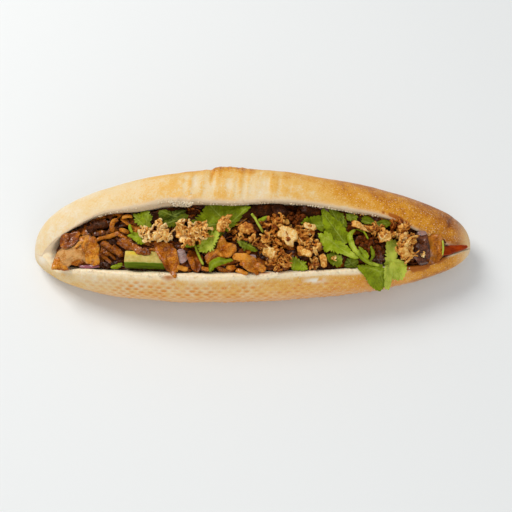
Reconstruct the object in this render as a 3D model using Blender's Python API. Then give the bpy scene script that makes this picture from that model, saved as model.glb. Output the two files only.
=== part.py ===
"""Banh mi sandwich: a roll split along one side, lying on its hinge with the cut facing up, packed with
sauced meat, cucumber, carrot, red onion, cilantro and crisp fried onion.

Metres, +Z up, +X along the roll. The origin is on the table under the roll's fullest section, at the middle
of the flat that it rests on. The bottom crust is on the -Y side and the domed top crust on the +Y side.
"""

import math

import bmesh
import bpy
import numpy as np
from mathutils import Vector, noise

MM = 0.001

# ---- The roll -------------------------------------------------------------------------------------------
LEFT_TIP_X = -0.1400
RIGHT_TIP_X = 0.1400
FULLEST_X = -0.0140
LEFT_POWER = 2.0  # how late the roll starts to taper
RIGHT_POWER = 1.65
SPINDLE_ROOT = 0.462  # how blunt its tips are
TIP_REACH = 0.9995  # the last ring's share of the way to the tip
LEFT_LIFT = 0.0045  # how far each tip curls up off the table
RIGHT_LIFT = 0.0080
LEFT_SWEEP = -0.0015  # how far the roll bends to a side on its way to each tip
RIGHT_SWEEP = 0.0020
SECTION_SCALE = 0.990
STATIONS = 38
PER_SPAN = 2  # points between two named points of the section

CUT_START_X = -0.1320  # the cut stops short of the left tip
# Length over which each lip opens from each end of the cut, and how soon: a lower power opens sooner.
FAR_LIP_LEFT = (0.0460, 0.25)
FAR_LIP_RIGHT = (0.0720, 0.62)
NEAR_LIP_LEFT = (0.0100, 1.0)
NEAR_LIP_RIGHT = (0.0360, 1.2)
SLIT_END_DEPTH = 0.35  # how deep the shut slit is at the right tip
# Where each lip sags: x of the middle, reach along the roll, and depth in mm of the fullest section.
FAR_SAGS = [(-0.012, 0.018, 2.4), (0.068, 0.020, 2.0), (-0.053, 0.014, -2.0)]
NEAR_SAGS = [(-0.015, 0.035, 2.0), (0.103, 0.013, 3.0)]
NEAR_END_SAG = 10.5  # at the left end of the cut
NEAR_END_REACH = 0.036

# The fullest section as (y, z) in mm, walked from the near lip, under the roll, to the far lip, then back
# through the pocket. The shut section has the same points, with the pocket closed to a slit.
OPEN_CRUST = [(-38.6, 40.8), (-42.4, 32.5), (-43.0, 22.0), (-37.0, 8.5), (-23.0, 0.6), (-15.0, 0.0), (0.0, 0.0),
              (15.0, 0.0), (30.0, 5.0), (40.5, 19.0), (42.5, 34.0), (35.5, 50.0), (22.0, 59.5), (9.5, 58.0)]
OPEN_POCKET = [(9.3, 54.6), (15.0, 43.0), (13.5, 29.0), (4.0, 19.5), (-10.0, 17.5), (-21.0, 24.5), (-29.5, 34.5),
               (-35.2, 42.2)]
SHUT_CRUST = [(-32.0, 46.0), (-40.0, 36.0), (-42.8, 24.0), (-37.5, 9.5), (-23.0, 1.0), (-15.0, 0.0), (0.0, 0.0),
              (15.0, 0.0), (30.0, 5.0), (40.5, 19.0), (42.5, 34.0), (31.0, 52.5), (2.0, 60.5), (-30.0, 48.5)]
SHUT_POCKET = [(-28.0, 46.6), (-20.0, 41.5), (-11.0, 35.5), (-1.0, 29.0), (-2.6, 27.2), (-12.6, 33.6), (-21.6, 39.7),
               (-30.2, 44.8)]
# Each named point's share of the near lip's opening, the rest being the far lip's; and how (y, z) of the points
# by a lip move when it sags by one.
NEARNESS = [1] * 6 + [0.5] + [0] * 7 + [0] * 3 + [0.35, 0.65] + [1] * 3
NEAR_SAG_MOVES = {0: (-0.30, -0.80), 1: (-0.05, -0.40), 19: (-0.10, -0.20), 20: (-0.30, -0.50), 21: (-0.35, -0.75)}
FAR_SAG_MOVES = {12: (-0.35, -0.25), 13: (-0.90, -0.45), 14: (-0.85, -0.45), 15: (-0.30, -0.15)}

# ---- The filling's own frame: w runs across the opening and h out of it --------------------------------
OPENING_TILT = math.radians(11.0)
CLEARANCE = 0.0005  # between the pocket's walls and what fills it
GAP = 0.0004  # between one piece and what it lies on
CELL = 0.001  # grid of the height map

BED_START_X = -0.1245
BED_END_X = 0.1205
BED_CROWN = 0.0035  # how far the heap rises in the middle
BED_LUMP = 0.0016
BED_LUMP_SIZE = 0.011
BED_TOP_POINTS = 9
CARROT_END_X = 0.1330

COLOURS = {
    "crust": ((0.78, 0.53, 0.25, 1), 0.62),
    "sauced_meat": ((0.20, 0.065, 0.018, 1), 0.32),
    "meat": ((0.36, 0.15, 0.035, 1), 0.38),
    "cucumber": ((0.36, 0.42, 0.08, 1), 0.35),
    "carrot": ((0.55, 0.10, 0.015, 1), 0.35),
    "red_onion": ((0.42, 0.22, 0.24, 1), 0.3),
    "cilantro": ((0.16, 0.25, 0.02, 1), 0.45),
    "fried_onion": ((0.60, 0.34, 0.10, 1), 0.6),
}

# ---- The pieces on the heap, in the order that they are laid down --------------------------------------
# name, finish, outline, x and w of the middle, length, width, turn in degrees, thickness, droop: all in mm.
# Droop is how far a rim may hang below the middle of its piece.
PIECES = [
    ("meat_slice_left", "meat", "slab", -112, -3.5, 26, 20, -8, 3.2, 2),
    ("red_onion_slice_left", "red_onion", "slab", -103, -13.5, 13, 5, -4, 1.6, 1),
    ("meat_strip_dark", "sauced_meat", "slab", -92, -7, 20, 9, -30, 2.6, 2),
    ("meat_strip_thin", "sauced_meat", "slab", -91, 3, 19, 4.5, 8, 2.4, 2),
    ("meat_curl", "meat", "slab", -89, 9, 10, 4.5, 78, 2.6, 1),
    ("cilantro_leaf_by_cucumber", "cilantro", "leaf", -88, -14.5, 11, 6, 5, 0.9, 1),
    ("cucumber_baton", "cucumber", "baton", -69.5, -15.5, 25, 8.5, -2, 7.5, 0),
    ("meat_strip_long", "meat", "slab", -76, -4.5, 23, 5, -17, 2.6, 3),
    ("red_onion_slice_mid", "red_onion", "slab", -45, -14, 9, 8, -60, 1.8, 1),
    ("meat_slab_over_lip", "meat", "slab", -56, -15, 24, 14, -66, 3.0, 4),
    ("meat_slab_gold", "meat", "slab", -20, -12.5, 23, 15, 22, 3.4, 2),
    ("meat_slice_far", "sauced_meat", "slab", 20, 14, 37, 11, 2, 3.0, 2),
    ("red_onion_slice_centre", "red_onion", "slab", -2, -15, 14, 6, -12, 1.6, 1),
    ("meat_strip_ragged", "meat", "slab", -3, -20.5, 22, 7, -24, 2.8, 3),
    ("meat_slab_low", "sauced_meat", "slab", 16, -16, 19, 9, -10, 2.8, 2),
    ("red_onion_slice_far", "red_onion", "slab", 46, 17, 9, 4.5, 4, 1.6, 1),
    ("meat_slice_under_leaf", "sauced_meat", "slab", 76, -3, 22, 15, -14, 3.0, 2),
    ("meat_slice_glossy", "sauced_meat", "slab", 108, -4.5, 20, 11, 84, 3.2, 2),
    ("red_onion_slice_right", "red_onion", "slab", 107.5, 4.5, 8, 4, -8, 1.5, 1),
    ("meat_slice_right", "meat", "slab", 117, -3.5, 13, 8, 86, 2.6, 2),
    ("cilantro_leaf_far_left", "cilantro", "leaf", -71, 11.5, 15, 13, 60, 1.0, 2),
    ("cilantro_leaf_light", "cilantro", "leaf", -73, -1.5, 15, 9, -16, 1.0, 2),
    ("cilantro_leaf_dark", "cilantro", "leaf", -52, 14, 18, 12, 12, 1.0, 2),
    ("cilantro_leaf_big", "cilantro", "leaf", -17, 6.5, 44, 27, 38, 1.2, 4),
    ("cilantro_leaf_curled", "cilantro", "leaf", -20, -21.5, 18, 6, 24, 1.4, 3),
    ("cilantro_leaf_centre", "cilantro", "leaf", -2, -9, 15, 8, -28, 1.0, 2),
    ("cilantro_stem_left", "cilantro", "stem", -37.5, -14, 15, 1.6, -68, 1.6, 0),
    ("cilantro_stem_centre", "cilantro", "stem", 3, 6, 15, 1.7, -64, 1.7, 0),
    ("cilantro_leaf_near", "cilantro", "leaf", 29, -14.5, 13, 9, -20, 1.0, 2),
    ("cilantro_leaf_fold", "cilantro", "leaf", 49, -13.5, 12, 9, 20, 1.4, 2),
    ("fried_onion_left", "fried_onion", "heap", -62, 4, 24, 13, -6, 5.5, 2),
    ("fried_onion_mid_left", "fried_onion", "heap", -42, 0, 23, 14, 4, 6.0, 2),
    ("fried_onion_flake_on_leaf", "fried_onion", "slab", -18, 8, 15, 7, 58, 2.4, 2),
    ("fried_onion_ring_dark", "fried_onion", "slab", -5, 1.5, 12, 9, -20, 3.0, 2),
    ("fried_onion_centre", "fried_onion", "heap", 22, -3, 42, 30, -14, 6.5, 3),
    ("fried_onion_flake_pale", "fried_onion", "slab", 22, 0, 14, 12, -20, 1.8, 1),
    ("fried_onion_flake_low", "fried_onion", "slab", 12, -14, 13, 8, -24, 2.0, 1),
    ("cilantro_leaf_far", "cilantro", "leaf", 77, 12.5, 21, 8, -8, 1.0, 2),
    ("cilantro_sprig_long", "cilantro", "leaf", 50, 1.5, 44, 18, -62, 1.4, 4),
    ("cilantro_leaf_over_lip", "cilantro", "leaf", 74, -19, 26, 14, -24, 1.2, 6),
    ("fried_onion_mid_right", "fried_onion", "heap", 77, 4, 27, 10, -8, 5.0, 2),
    ("cilantro_ribbon", "cilantro", "leaf", 66, -5, 22, 7, -52, 1.4, 3),
    ("cilantro_leaf_light_right", "cilantro", "leaf", 87, -12, 30, 15, 78, 1.4, 7),
    ("fried_onion_right", "fried_onion", "heap", 97, -1.5, 20, 11, 70, 5.0, 2),
]

OUTLINE_SPOKES = {"slab": 14, "leaf": 20, "heap": 14}
RING_SHARES = {"slab": (0.5, 0.88, 1.0), "leaf": (0.5, 1.0), "heap": (0.38, 0.72, 1.0)}
SLAB_SQUARENESS = 3.2
WOBBLE = 0.08
LEAF_LOBES = 5
LEAF_NOTCH = 0.34
STIFFNESS = 5  # rounds of smoothing while a piece settles
WALL_MARGIN = 0.0016
SLIDE_SHARE = 0.8
OVER_LIP_WORDS = ("over_lip", "ragged", "curled")  # pieces whose names hold these may hang over the near lip
BATON_ROUNDING = 0.0007
STEM_SIDES = 6
STEM_POINTS = 7
LIP_STEPS = 4  # ring points on the inside of each lip


def clear_scene():
    for obj in list(bpy.data.objects):
        bpy.data.objects.remove(obj, do_unlink=True)


def material(name):
    found = bpy.data.materials.get(name)
    if found:
        return found
    colour, roughness = COLOURS[name]
    made = bpy.data.materials.new(name)
    made.use_nodes = True
    shader = made.node_tree.nodes["Principled BSDF"]
    shader.inputs["Base Color"].default_value = colour
    shader.inputs["Roughness"].default_value = roughness
    shader.inputs["Metallic"].default_value = 0.0
    made.diffuse_color = colour
    return made


def ease(value):
    """0 below 0, 1 above 1, and smooth between."""
    value = min(max(value, 0.0), 1.0)
    return value * value * (3 - 2 * value)


def to_object(mesh_builder, name, finish, collection):
    """Closes up a bmesh as a named object of one material."""
    bmesh.ops.recalc_face_normals(mesh_builder, faces=mesh_builder.faces)
    mesh = bpy.data.meshes.new(name)
    mesh_builder.to_mesh(mesh)
    mesh_builder.free()
    mesh.materials.append(material(finish))
    mesh.shade_smooth()
    obj = bpy.data.objects.new(name, mesh)
    collection.objects.link(obj)
    return obj


# ---- The roll's rings ------------------------------------------------------------------------------------
def tip_distance(x):
    """0 at the fullest section, 1 at a tip."""
    end = RIGHT_TIP_X if x > FULLEST_X else LEFT_TIP_X
    return min((x - FULLEST_X) / (end - FULLEST_X), TIP_REACH)


def fullness(x):
    """The section's size at x as a share of the fullest one."""
    power = RIGHT_POWER if x > FULLEST_X else LEFT_POWER
    return (1 - tip_distance(x) ** power) ** SPINDLE_ROOT


def gape(x, left, right):
    """1 where a lip is wide open, 0 where it is shut."""
    from_left = ease((x - CUT_START_X) / left[0]) ** left[1]
    from_right = ease((RIGHT_TIP_X - x) / right[0]) ** right[1]
    return min(from_left, from_right)


def sag(x, places):
    return sum(depth * math.exp(-(((x - middle) / reach) ** 2)) for middle, reach, depth in places)


def slit_depth(x):
    """Depth of the pocket as a share of the full one: none at the left tip, shallow at the right tip."""
    left = ease((x - CUT_START_X + 0.002) / 0.008)
    right = SLIT_END_DEPTH + (1 - SLIT_END_DEPTH) * ease((RIGHT_TIP_X - x) / 0.008)
    return min(left, right)


def closed_curve(points, per_span):
    """Catmull-Rom curve through a closed loop of points."""
    points = np.asarray(points, float)
    curve = []
    for i in range(len(points)):
        before, a, b, after = (points[(i + k) % len(points)] for k in (-1, 0, 1, 2))
        for step in range(per_span):
            t = step / per_span
            curve.append(0.5 * (2 * a + (b - before) * t + (2 * before - 5 * a + 4 * b - after) * t**2
                                + (3 * a - before - 3 * b + after) * t**3))
    return np.array(curve)


CRUST_POINTS = (len(OPEN_CRUST) - 1) * PER_SPAN  # index of the far lip's crust edge in a ring


def ring_at(x):
    """The roll's section at x as points (y, z) in metres. Point 0 is the near lip's crust edge."""
    near, far = gape(x, NEAR_LIP_LEFT, NEAR_LIP_RIGHT), gape(x, FAR_LIP_LEFT, FAR_LIP_RIGHT)
    named = []
    for nearness, shut, opened in zip(NEARNESS, SHUT_CRUST + SHUT_POCKET, OPEN_CRUST + OPEN_POCKET):
        share = near * nearness + far * (1 - nearness)
        named.append(np.array(shut) * (1 - share) + np.array(opened) * share)
    end_sag = NEAR_END_SAG * (1 - ease((x - CUT_START_X + 0.002) / NEAR_END_REACH))
    for moves, depth in ((NEAR_SAG_MOVES, near * (sag(x, NEAR_SAGS) + end_sag)), (FAR_SAG_MOVES, far * sag(x, FAR_SAGS))):
        for index, move in moves.items():
            named[index] = named[index] + depth * np.array(move)
    ring = closed_curve(named, PER_SPAN)
    depth = slit_depth(x)
    inside = len(ring) - CRUST_POINTS
    for step in range(1, inside):
        across = ring[CRUST_POINTS] + (ring[0] - ring[CRUST_POINTS]) * step / inside
        index = CRUST_POINTS + step
        ring[index] = across + (ring[index] - across) * depth
    ring[:, 1] = np.maximum(ring[:, 1], 0.0)
    ring *= MM * SECTION_SCALE * fullness(x)
    distance = tip_distance(x)
    if x > FULLEST_X:
        return ring + (RIGHT_SWEEP * distance**3, RIGHT_LIFT * distance**5)
    return ring + (LEFT_SWEEP * 4 * distance * (1 - distance), LEFT_LIFT * distance**5)


def station_places():
    """Places along the roll, closer together towards the tips."""
    steps = np.linspace(-1, 1, STATIONS)
    middle, half = (LEFT_TIP_X + RIGHT_TIP_X) / 2, (RIGHT_TIP_X - LEFT_TIP_X) / 2
    return middle + half * np.sin(steps * math.pi / 2)


class Roll:
    """The roll's rings, and rings between two of them as its flat faces give them."""

    def __init__(self):
        self.places = station_places()
        self.rings = [ring_at(x) for x in self.places]

    def between(self, x):
        after = int(np.clip(np.searchsorted(self.places, x), 1, len(self.places) - 1))
        a, b = self.places[after - 1], self.places[after]
        share = (x - a) / (b - a)
        return self.rings[after - 1] * (1 - share) + self.rings[after] * share


def loft(places, rings, name, finish, collection):
    """Skins closed rings of (y, z) at places along X, and caps both ends."""
    build = bmesh.new()
    rows = [[build.verts.new((x, y, z)) for y, z in ring] for x, ring in zip(places, rings)]
    for row, following in zip(rows, rows[1:]):
        for i in range(len(row)):
            j = (i + 1) % len(row)
            build.faces.new((row[i], row[j], following[j], following[i]))
    caps = [build.faces.new(rows[0]), build.faces.new(rows[-1])]
    bmesh.ops.triangulate(build, faces=caps)
    return to_object(build, name, finish, collection)


# ---- What fills the pocket --------------------------------------------------------------------------------
def to_frame(y, z):
    """(w, h) of a point (y, z)."""
    c, s = math.cos(OPENING_TILT), math.sin(OPENING_TILT)
    return y * c + z * s, z * c - y * s


def from_frame(w, h):
    """(y, z) of a point (w, h)."""
    c, s = math.cos(OPENING_TILT), math.sin(OPENING_TILT)
    return w * c - h * s, w * s + h * c


def pocket_ring(roll, x, far_step, near_step, crown):
    """Section at x of what fills the pocket: its walls drawn in by the clearance, then the heap's top.

    far_step and near_step count ring points down from each lip to where the heap meets the wall."""
    ring = roll.between(x)
    wall = ring[CRUST_POINTS + far_step:len(ring) - near_step + 1]
    centre = wall.mean(axis=0)
    along = np.gradient(wall, axis=0)
    inward = np.stack([-along[:, 1], along[:, 0]], axis=1)
    inward /= np.linalg.norm(inward, axis=1)[:, None]
    inward *= np.sign(((centre - wall) * inward).sum(axis=1))[:, None]
    wall = wall + inward * CLEARANCE
    top = []
    size = fullness(x)
    for step in range(1, BED_TOP_POINTS + 1):
        share = step / (BED_TOP_POINTS + 1)
        point = wall[-1] + (wall[0] - wall[-1]) * share
        bump = noise.noise(Vector((x, point[0], 0)) / BED_LUMP_SIZE)
        rise = (crown * size + BED_LUMP * bump) * math.sin(math.pi * share) ** 0.6
        rise_y, rise_z = from_frame(0, rise)
        top.append(point + np.array([rise_y, rise_z]))
    return np.vstack([wall, np.array(top)])


def fill_pocket(roll, name, finish, start, end, steps, far_step, near_step, crown, collection):
    inside = [x for x in roll.places if start + 0.001 < x < end - 0.001]
    places = sorted({start, end, *inside}) if steps is None else list(np.linspace(start, end, steps))
    rings = [pocket_ring(roll, x, far_step, near_step, crown) for x in places]
    return loft(places, rings, name, finish, collection), places, rings


# ---- Laying pieces on the heap ------------------------------------------------------------------------------
class HeightMap:
    """The highest h above each (x, w) of all that has been laid so far."""

    def __init__(self):
        self.xs = np.arange(LEFT_TIP_X, RIGHT_TIP_X, CELL)
        self.ws = np.arange(-0.050, 0.055, CELL)
        self.tops = np.full((len(self.xs), len(self.ws)), -0.05)

    def raise_to(self, i, j, heights):
        np.maximum.at(self.tops, (i, j), heights)

    def add_rings(self, places, rings):
        """Adds the outline of a loft, ring by ring."""
        for i, x in enumerate(self.xs):
            after = int(np.searchsorted(places, x))
            if after == 0 or after == len(places):
                continue
            share = (x - places[after - 1]) / (places[after] - places[after - 1])
            ring = rings[after - 1] * (1 - share) + rings[after] * share
            across, up = to_frame(ring[:, 0], ring[:, 1])
            for k in range(len(ring)):
                ends = sorted([(across[k - 1], up[k - 1]), (across[k], up[k])])
                j = np.nonzero((self.ws >= ends[0][0]) & (self.ws <= ends[1][0]))[0]
                if len(j):
                    self.raise_to(i, j, np.interp(self.ws[j], [e[0] for e in ends], [e[1] for e in ends]))

    def cells_under(self, corners):
        """Cells (i, j) under a triangle of (x, w) corners, and the corners' weights there."""
        low, high = corners.min(axis=0) - CELL / 2, corners.max(axis=0) + CELL / 2
        i = np.nonzero((self.xs >= low[0]) & (self.xs <= high[0]))[0]
        j = np.nonzero((self.ws >= low[1]) & (self.ws <= high[1]))[0]
        i, j = (grid.ravel() for grid in np.meshgrid(i, j, indexing="ij"))
        a, b, c = corners
        area = (b[0] - a[0]) * (c[1] - a[1]) - (b[1] - a[1]) * (c[0] - a[0])
        if abs(area) < 1e-12 or not len(i):
            return i[:0], j[:0], np.zeros((0, 3))
        x, w = self.xs[i], self.ws[j]
        wb = ((x - a[0]) * (c[1] - a[1]) - (w - a[1]) * (c[0] - a[0])) / area
        wc = ((b[0] - a[0]) * (w - a[1]) - (b[1] - a[1]) * (x - a[0])) / area
        weights = np.stack([1 - wb - wc, wb, wc], axis=1)
        inside = (weights > -0.08).all(axis=1)
        return i[inside], j[inside], weights[inside]

    def ground(self):
        """The map with each cell raised to its highest neighbour, so that steep sides are cleared too."""
        padded = np.pad(self.tops, 1, mode="edge")
        rows, columns = self.tops.shape
        return np.max([padded[a:a + rows, b:b + columns] for a in range(3) for b in range(3)], axis=0)

    def add_triangles(self, flat, heights, faces):
        for face in faces:
            corners = list(face)
            i, j, weights = self.cells_under(flat[corners])
            self.raise_to(i, j, weights @ heights[corners])


def wall_limits(roll, x):
    """The free width (w) between the two lips at x."""
    ring = roll.between(float(np.clip(x, CUT_START_X + 0.004, CARROT_END_X)))
    far, _ = to_frame(*ring[CRUST_POINTS:CRUST_POINTS + LIP_STEPS + 1].T)
    near, _ = to_frame(*np.vstack([ring[-LIP_STEPS:], ring[:1]]).T)
    middle = (near.max() + far.min()) / 2
    return min(near.max() + WALL_MARGIN, middle - WALL_MARGIN), max(far.min() - WALL_MARGIN, middle + WALL_MARGIN)


def outline(kind, seed):
    """Unit outline of a piece, walked once round."""
    points = []
    spokes = OUTLINE_SPOKES[kind]
    for k in range(spokes):
        turn = 2 * math.pi * k / spokes
        c, s = math.cos(turn), math.sin(turn)
        reach = 1.0
        if kind == "slab":
            reach = (abs(c) ** SLAB_SQUARENESS + abs(s) ** SLAB_SQUARENESS) ** (-1 / SLAB_SQUARENESS)
        if kind == "leaf":
            reach = 1 - LEAF_NOTCH * (1 - abs(math.cos(turn * LEAF_LOBES / 2)) ** 0.7)
        reach *= 1 + WOBBLE * noise.noise(Vector((2 * c, 2 * s, seed)))
        points.append((c * reach, s * reach))
    return np.array(points)


def settle(flat, faces, height_map, droop):
    """Heights at which a sheet of flat (x, w) corners lies on the heap without sinking into it."""
    ground = height_map.ground() + GAP
    rests = [(face, *height_map.cells_under(flat[list(face)])) for face in faces]
    i = np.clip(((flat[:, 0] - height_map.xs[0]) / CELL).round().astype(int), 0, len(height_map.xs) - 1)
    j = np.clip(((flat[:, 1] - height_map.ws[0]) / CELL).round().astype(int), 0, len(height_map.ws) - 1)
    heights = ground[i, j].copy()
    heights = np.maximum(heights, np.median(heights) - droop)
    beside = [set() for _ in flat]
    for face in faces:
        for corner in face:
            beside[corner].update(face)
    for _ in range(STIFFNESS):
        heights = np.array([heights[list(near)].mean() for near in beside])
        for _ in range(6):
            for face, i, j, weights in rests:
                if not len(i):
                    continue
                corners = list(face)
                short = (ground[i, j] - weights @ heights[corners]) / (weights**2).sum(axis=1)
                worst = short.argmax()
                if short[worst] > 0:
                    heights[corners] += short[worst] * np.maximum(weights[worst], 0)
    return heights


def fan_faces(spokes, rings):
    """Triangles of a disc made of a middle point and rings of spokes."""
    faces = [(0, 1 + k, 1 + (k + 1) % spokes) for k in range(spokes)]
    for r in range(rings - 1):
        inner, outer = 1 + r * spokes, 1 + (r + 1) * spokes
        for k in range(spokes):
            n = (k + 1) % spokes
            faces += [(inner + k, outer + k, outer + n), (inner + k, outer + n, inner + n)]
    return faces


def keep_between_walls(roll, flat, over_lip):
    """Slides a piece's (x, w) corners away from the lips, then trims what still reaches over one."""
    limits = np.array([wall_limits(roll, x) for x in flat[:, 0]])
    past_near = 0.0 if over_lip else max((limits[:, 0] - flat[:, 1]).max(), 0)
    past_far = max((flat[:, 1] - limits[:, 1]).max(), 0)
    flat[:, 1] += SLIDE_SHARE * (past_near - past_far)
    flat[:, 1] = np.minimum(flat[:, 1], limits[:, 1])
    if not over_lip:
        flat[:, 1] = np.maximum(flat[:, 1], limits[:, 0])


def lay_sheet(roll, height_map, piece, seed, collection):
    """Lays a slab, leaf or heap: a closed disc whose underside follows what it lies on."""
    name, finish, kind, x, w, length, width, turn, thick, droop = piece
    shape = outline(kind, seed) * (length / 2 * MM, width / 2 * MM)
    c, s = math.cos(math.radians(turn)), math.sin(math.radians(turn))
    shape = np.stack([shape[:, 0] * c - shape[:, 1] * s, shape[:, 0] * s + shape[:, 1] * c], axis=1)
    shares = RING_SHARES[kind]
    flat = np.vstack([[(0, 0)], *[shape * share for share in shares]]) + (x * MM, w * MM)
    keep_between_walls(roll, flat, over_lip=any(word in name for word in OVER_LIP_WORDS))
    faces = fan_faces(len(shape), len(shares))
    under = settle(flat, faces, height_map, droop * MM)
    share_at = np.array([0.0] + [share for share in shares for _ in shape])
    rim = share_at == 1.0
    if kind == "heap":
        lumps = np.array([noise.noise(Vector((p[0], p[1], seed)) / 0.006) for p in flat])
        above = thick * MM * (1 - share_at**2) * (1 + 0.35 * lumps)
    else:
        above = np.full(len(flat), thick * MM)
    above[rim] = thick * MM * (0.0 if kind == "heap" else 0.5)
    over = under + above
    height_map.add_triangles(flat, over, faces)
    under[rim] = over[rim]
    build = bmesh.new()
    top = [place(build, p, h) for p, h in zip(flat, over)]
    bottom = [top[k] if rim[k] else place(build, flat[k], under[k]) for k in range(len(flat))]
    for a, b, d in faces:
        build.faces.new((top[a], top[b], top[d]))
        build.faces.new((bottom[a], bottom[d], bottom[b]))
    to_object(build, name, finish, collection)


def place(build, flat, height):
    y, z = from_frame(flat[1], height)
    return build.verts.new((flat[0], y, z))


def lay_baton(height_map, piece, collection):
    """Lays a straight cut baton flat on the heap."""
    name, finish, _, x, w, length, width, turn, thick, _ = piece
    build = bmesh.new()
    bmesh.ops.create_cube(build, size=1.0)
    bmesh.ops.scale(build, vec=(length * MM, width * MM, thick * MM), verts=build.verts)
    bmesh.ops.bevel(build, geom=build.edges, offset=BATON_ROUNDING, segments=1, affect="EDGES")
    bmesh.ops.triangulate(build, faces=build.faces)
    c, s = math.cos(math.radians(turn)), math.sin(math.radians(turn))
    build.verts.ensure_lookup_table()
    flat = np.array([(v.co.x * c - v.co.y * s + x * MM, v.co.x * s + v.co.y * c + w * MM) for v in build.verts])
    ups = np.array([v.co.z for v in build.verts])
    faces = [tuple(v.index for v in face.verts) for face in build.faces]
    ground = height_map.ground()
    cells = [height_map.cells_under(flat[list(face)]) for face in faces]
    floor = max(ground[i, j].max() for i, j, _ in cells if len(i)) + GAP - ups.min()
    for vert, point, up in zip(build.verts, flat, ups):
        y, z = from_frame(point[1], floor + up)
        vert.co = (point[0], y, z)
    height_map.add_triangles(flat, floor + ups, faces)
    to_object(build, name, finish, collection)


def lay_stem(height_map, piece, collection):
    """Lays a thin bent stem over the heap."""
    name, finish, _, x, w, length, width, turn, _, _ = piece
    radius = width / 2 * MM
    c, s = math.cos(math.radians(turn)), math.sin(math.radians(turn))
    along = np.linspace(-length / 2, length / 2, STEM_POINTS) * MM
    bend = 0.08 * length * MM * (1 - (2 * along / (length * MM)) ** 2)
    path = np.stack([along * c - bend * s + x * MM, along * s + bend * c + w * MM], axis=1)
    ground = height_map.ground()
    heights = []
    for point in path:
        i = np.abs(height_map.xs - point[0]) < 2.2 * CELL
        j = np.abs(height_map.ws - point[1]) < 2.2 * CELL
        heights.append(ground[np.ix_(i, j)].max() + GAP + radius)
    build = bmesh.new()
    rows = []
    for point, height in zip(path, heights):
        spun = [2 * math.pi * k / STEM_SIDES for k in range(STEM_SIDES)]
        rows.append([place(build, point + radius * math.cos(a) * np.array([-s, c]), height + radius * math.sin(a))
                     for a in spun])
        i, j = (np.nonzero(np.abs(grid - value) <= radius + CELL / 2)[0]
                for grid, value in ((height_map.xs, point[0]), (height_map.ws, point[1])))
        for column in i:
            height_map.raise_to(column, j, height + radius)
    for row, following in zip(rows, rows[1:]):
        for k in range(STEM_SIDES):
            n = (k + 1) % STEM_SIDES
            build.faces.new((row[k], row[n], following[n], following[k]))
    build.faces.new(rows[0])
    build.faces.new(rows[-1])
    to_object(build, name, finish, collection)


def main():
    clear_scene()
    sandwich = bpy.data.collections.new("banh_mi_sandwich")
    bpy.context.scene.collection.children.link(sandwich)
    roll = Roll()
    loft(roll.places, roll.rings, "bread_roll", "crust", sandwich)
    height_map = HeightMap()
    height_map.add_rings(roll.places, roll.rings)
    bed = fill_pocket(roll, "meat_bed", "sauced_meat", BED_START_X, BED_END_X, None, 4, 4, BED_CROWN, sandwich)
    height_map.add_rings(bed[1], bed[2])
    carrot = fill_pocket(roll, "carrot_strip", "carrot", BED_END_X + 0.0008, CARROT_END_X, None, 3, 2, 0.0, sandwich)
    height_map.add_rings(carrot[1], carrot[2])
    for seed, piece in enumerate(PIECES):
        if piece[2] == "baton":
            lay_baton(height_map, piece, sandwich)
        elif piece[2] == "stem":
            lay_stem(height_map, piece, sandwich)
        else:
            lay_sheet(roll, height_map, piece, seed, sandwich)


main()
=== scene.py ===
"""Looks of the banh mi sandwich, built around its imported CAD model.

Metres, +Z up, +X along the roll. The filling is laid out in a frame of its own: w runs across the opening of
the roll, from the near lip to the far one, and h out of the opening. What shows on top is placed as seen from
the front, at (across, up) in mm from the middle of the main view. Outlines and paths are written as
"across,up across,up ...". The points of an outline count from the middle of its piece, and a path may add a
lift in mm to each of its points.
"""

import math
from contextlib import contextmanager

import bpy
import numpy as np
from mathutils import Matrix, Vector
from mathutils.bvhtree import BVHTree

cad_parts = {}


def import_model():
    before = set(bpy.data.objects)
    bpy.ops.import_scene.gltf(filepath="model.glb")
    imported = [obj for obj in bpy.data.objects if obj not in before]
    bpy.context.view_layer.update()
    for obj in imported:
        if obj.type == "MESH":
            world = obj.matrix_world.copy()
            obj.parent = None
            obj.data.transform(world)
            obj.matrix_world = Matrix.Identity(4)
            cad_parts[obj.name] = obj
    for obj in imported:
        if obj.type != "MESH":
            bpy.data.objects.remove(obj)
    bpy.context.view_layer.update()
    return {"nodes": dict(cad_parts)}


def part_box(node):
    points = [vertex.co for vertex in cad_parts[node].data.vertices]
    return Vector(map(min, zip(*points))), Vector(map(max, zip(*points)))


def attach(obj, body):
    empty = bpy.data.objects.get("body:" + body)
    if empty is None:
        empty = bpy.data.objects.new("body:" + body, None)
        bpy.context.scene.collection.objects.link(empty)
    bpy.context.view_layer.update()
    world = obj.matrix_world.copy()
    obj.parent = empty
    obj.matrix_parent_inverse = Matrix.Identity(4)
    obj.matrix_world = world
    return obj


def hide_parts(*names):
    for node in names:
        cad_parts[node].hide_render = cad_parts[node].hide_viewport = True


MM = 0.001
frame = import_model()

OPENING_TILT = math.radians(11.0)
UP_W = np.array([0, math.cos(OPENING_TILT), math.sin(OPENING_TILT)])
UP_H = np.array([0, -math.sin(OPENING_TILT), math.cos(OPENING_TILT)])
FLAKES_TOP = 0.0535  # no loose flake is laid on anything higher than this z


# ---- Noise and small helpers -----------------------------------------------------------------------------
def scrambled(ix, iy, iz, seed):
    """A repeatable value from -1 to 1 for each lattice point."""
    n = (ix * 374761393 + iy * 668265263 + iz * 1442695041 + seed * 1013904223) & 0xFFFFFFFF
    n = ((n ^ (n >> 13)) * 1274126177) & 0xFFFFFFFF
    n = ((n ^ (n >> 15)) * 2246822519) & 0xFFFFFFFF
    return ((n ^ (n >> 16)) & 0xFFFF) / 32767.5 - 1


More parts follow.
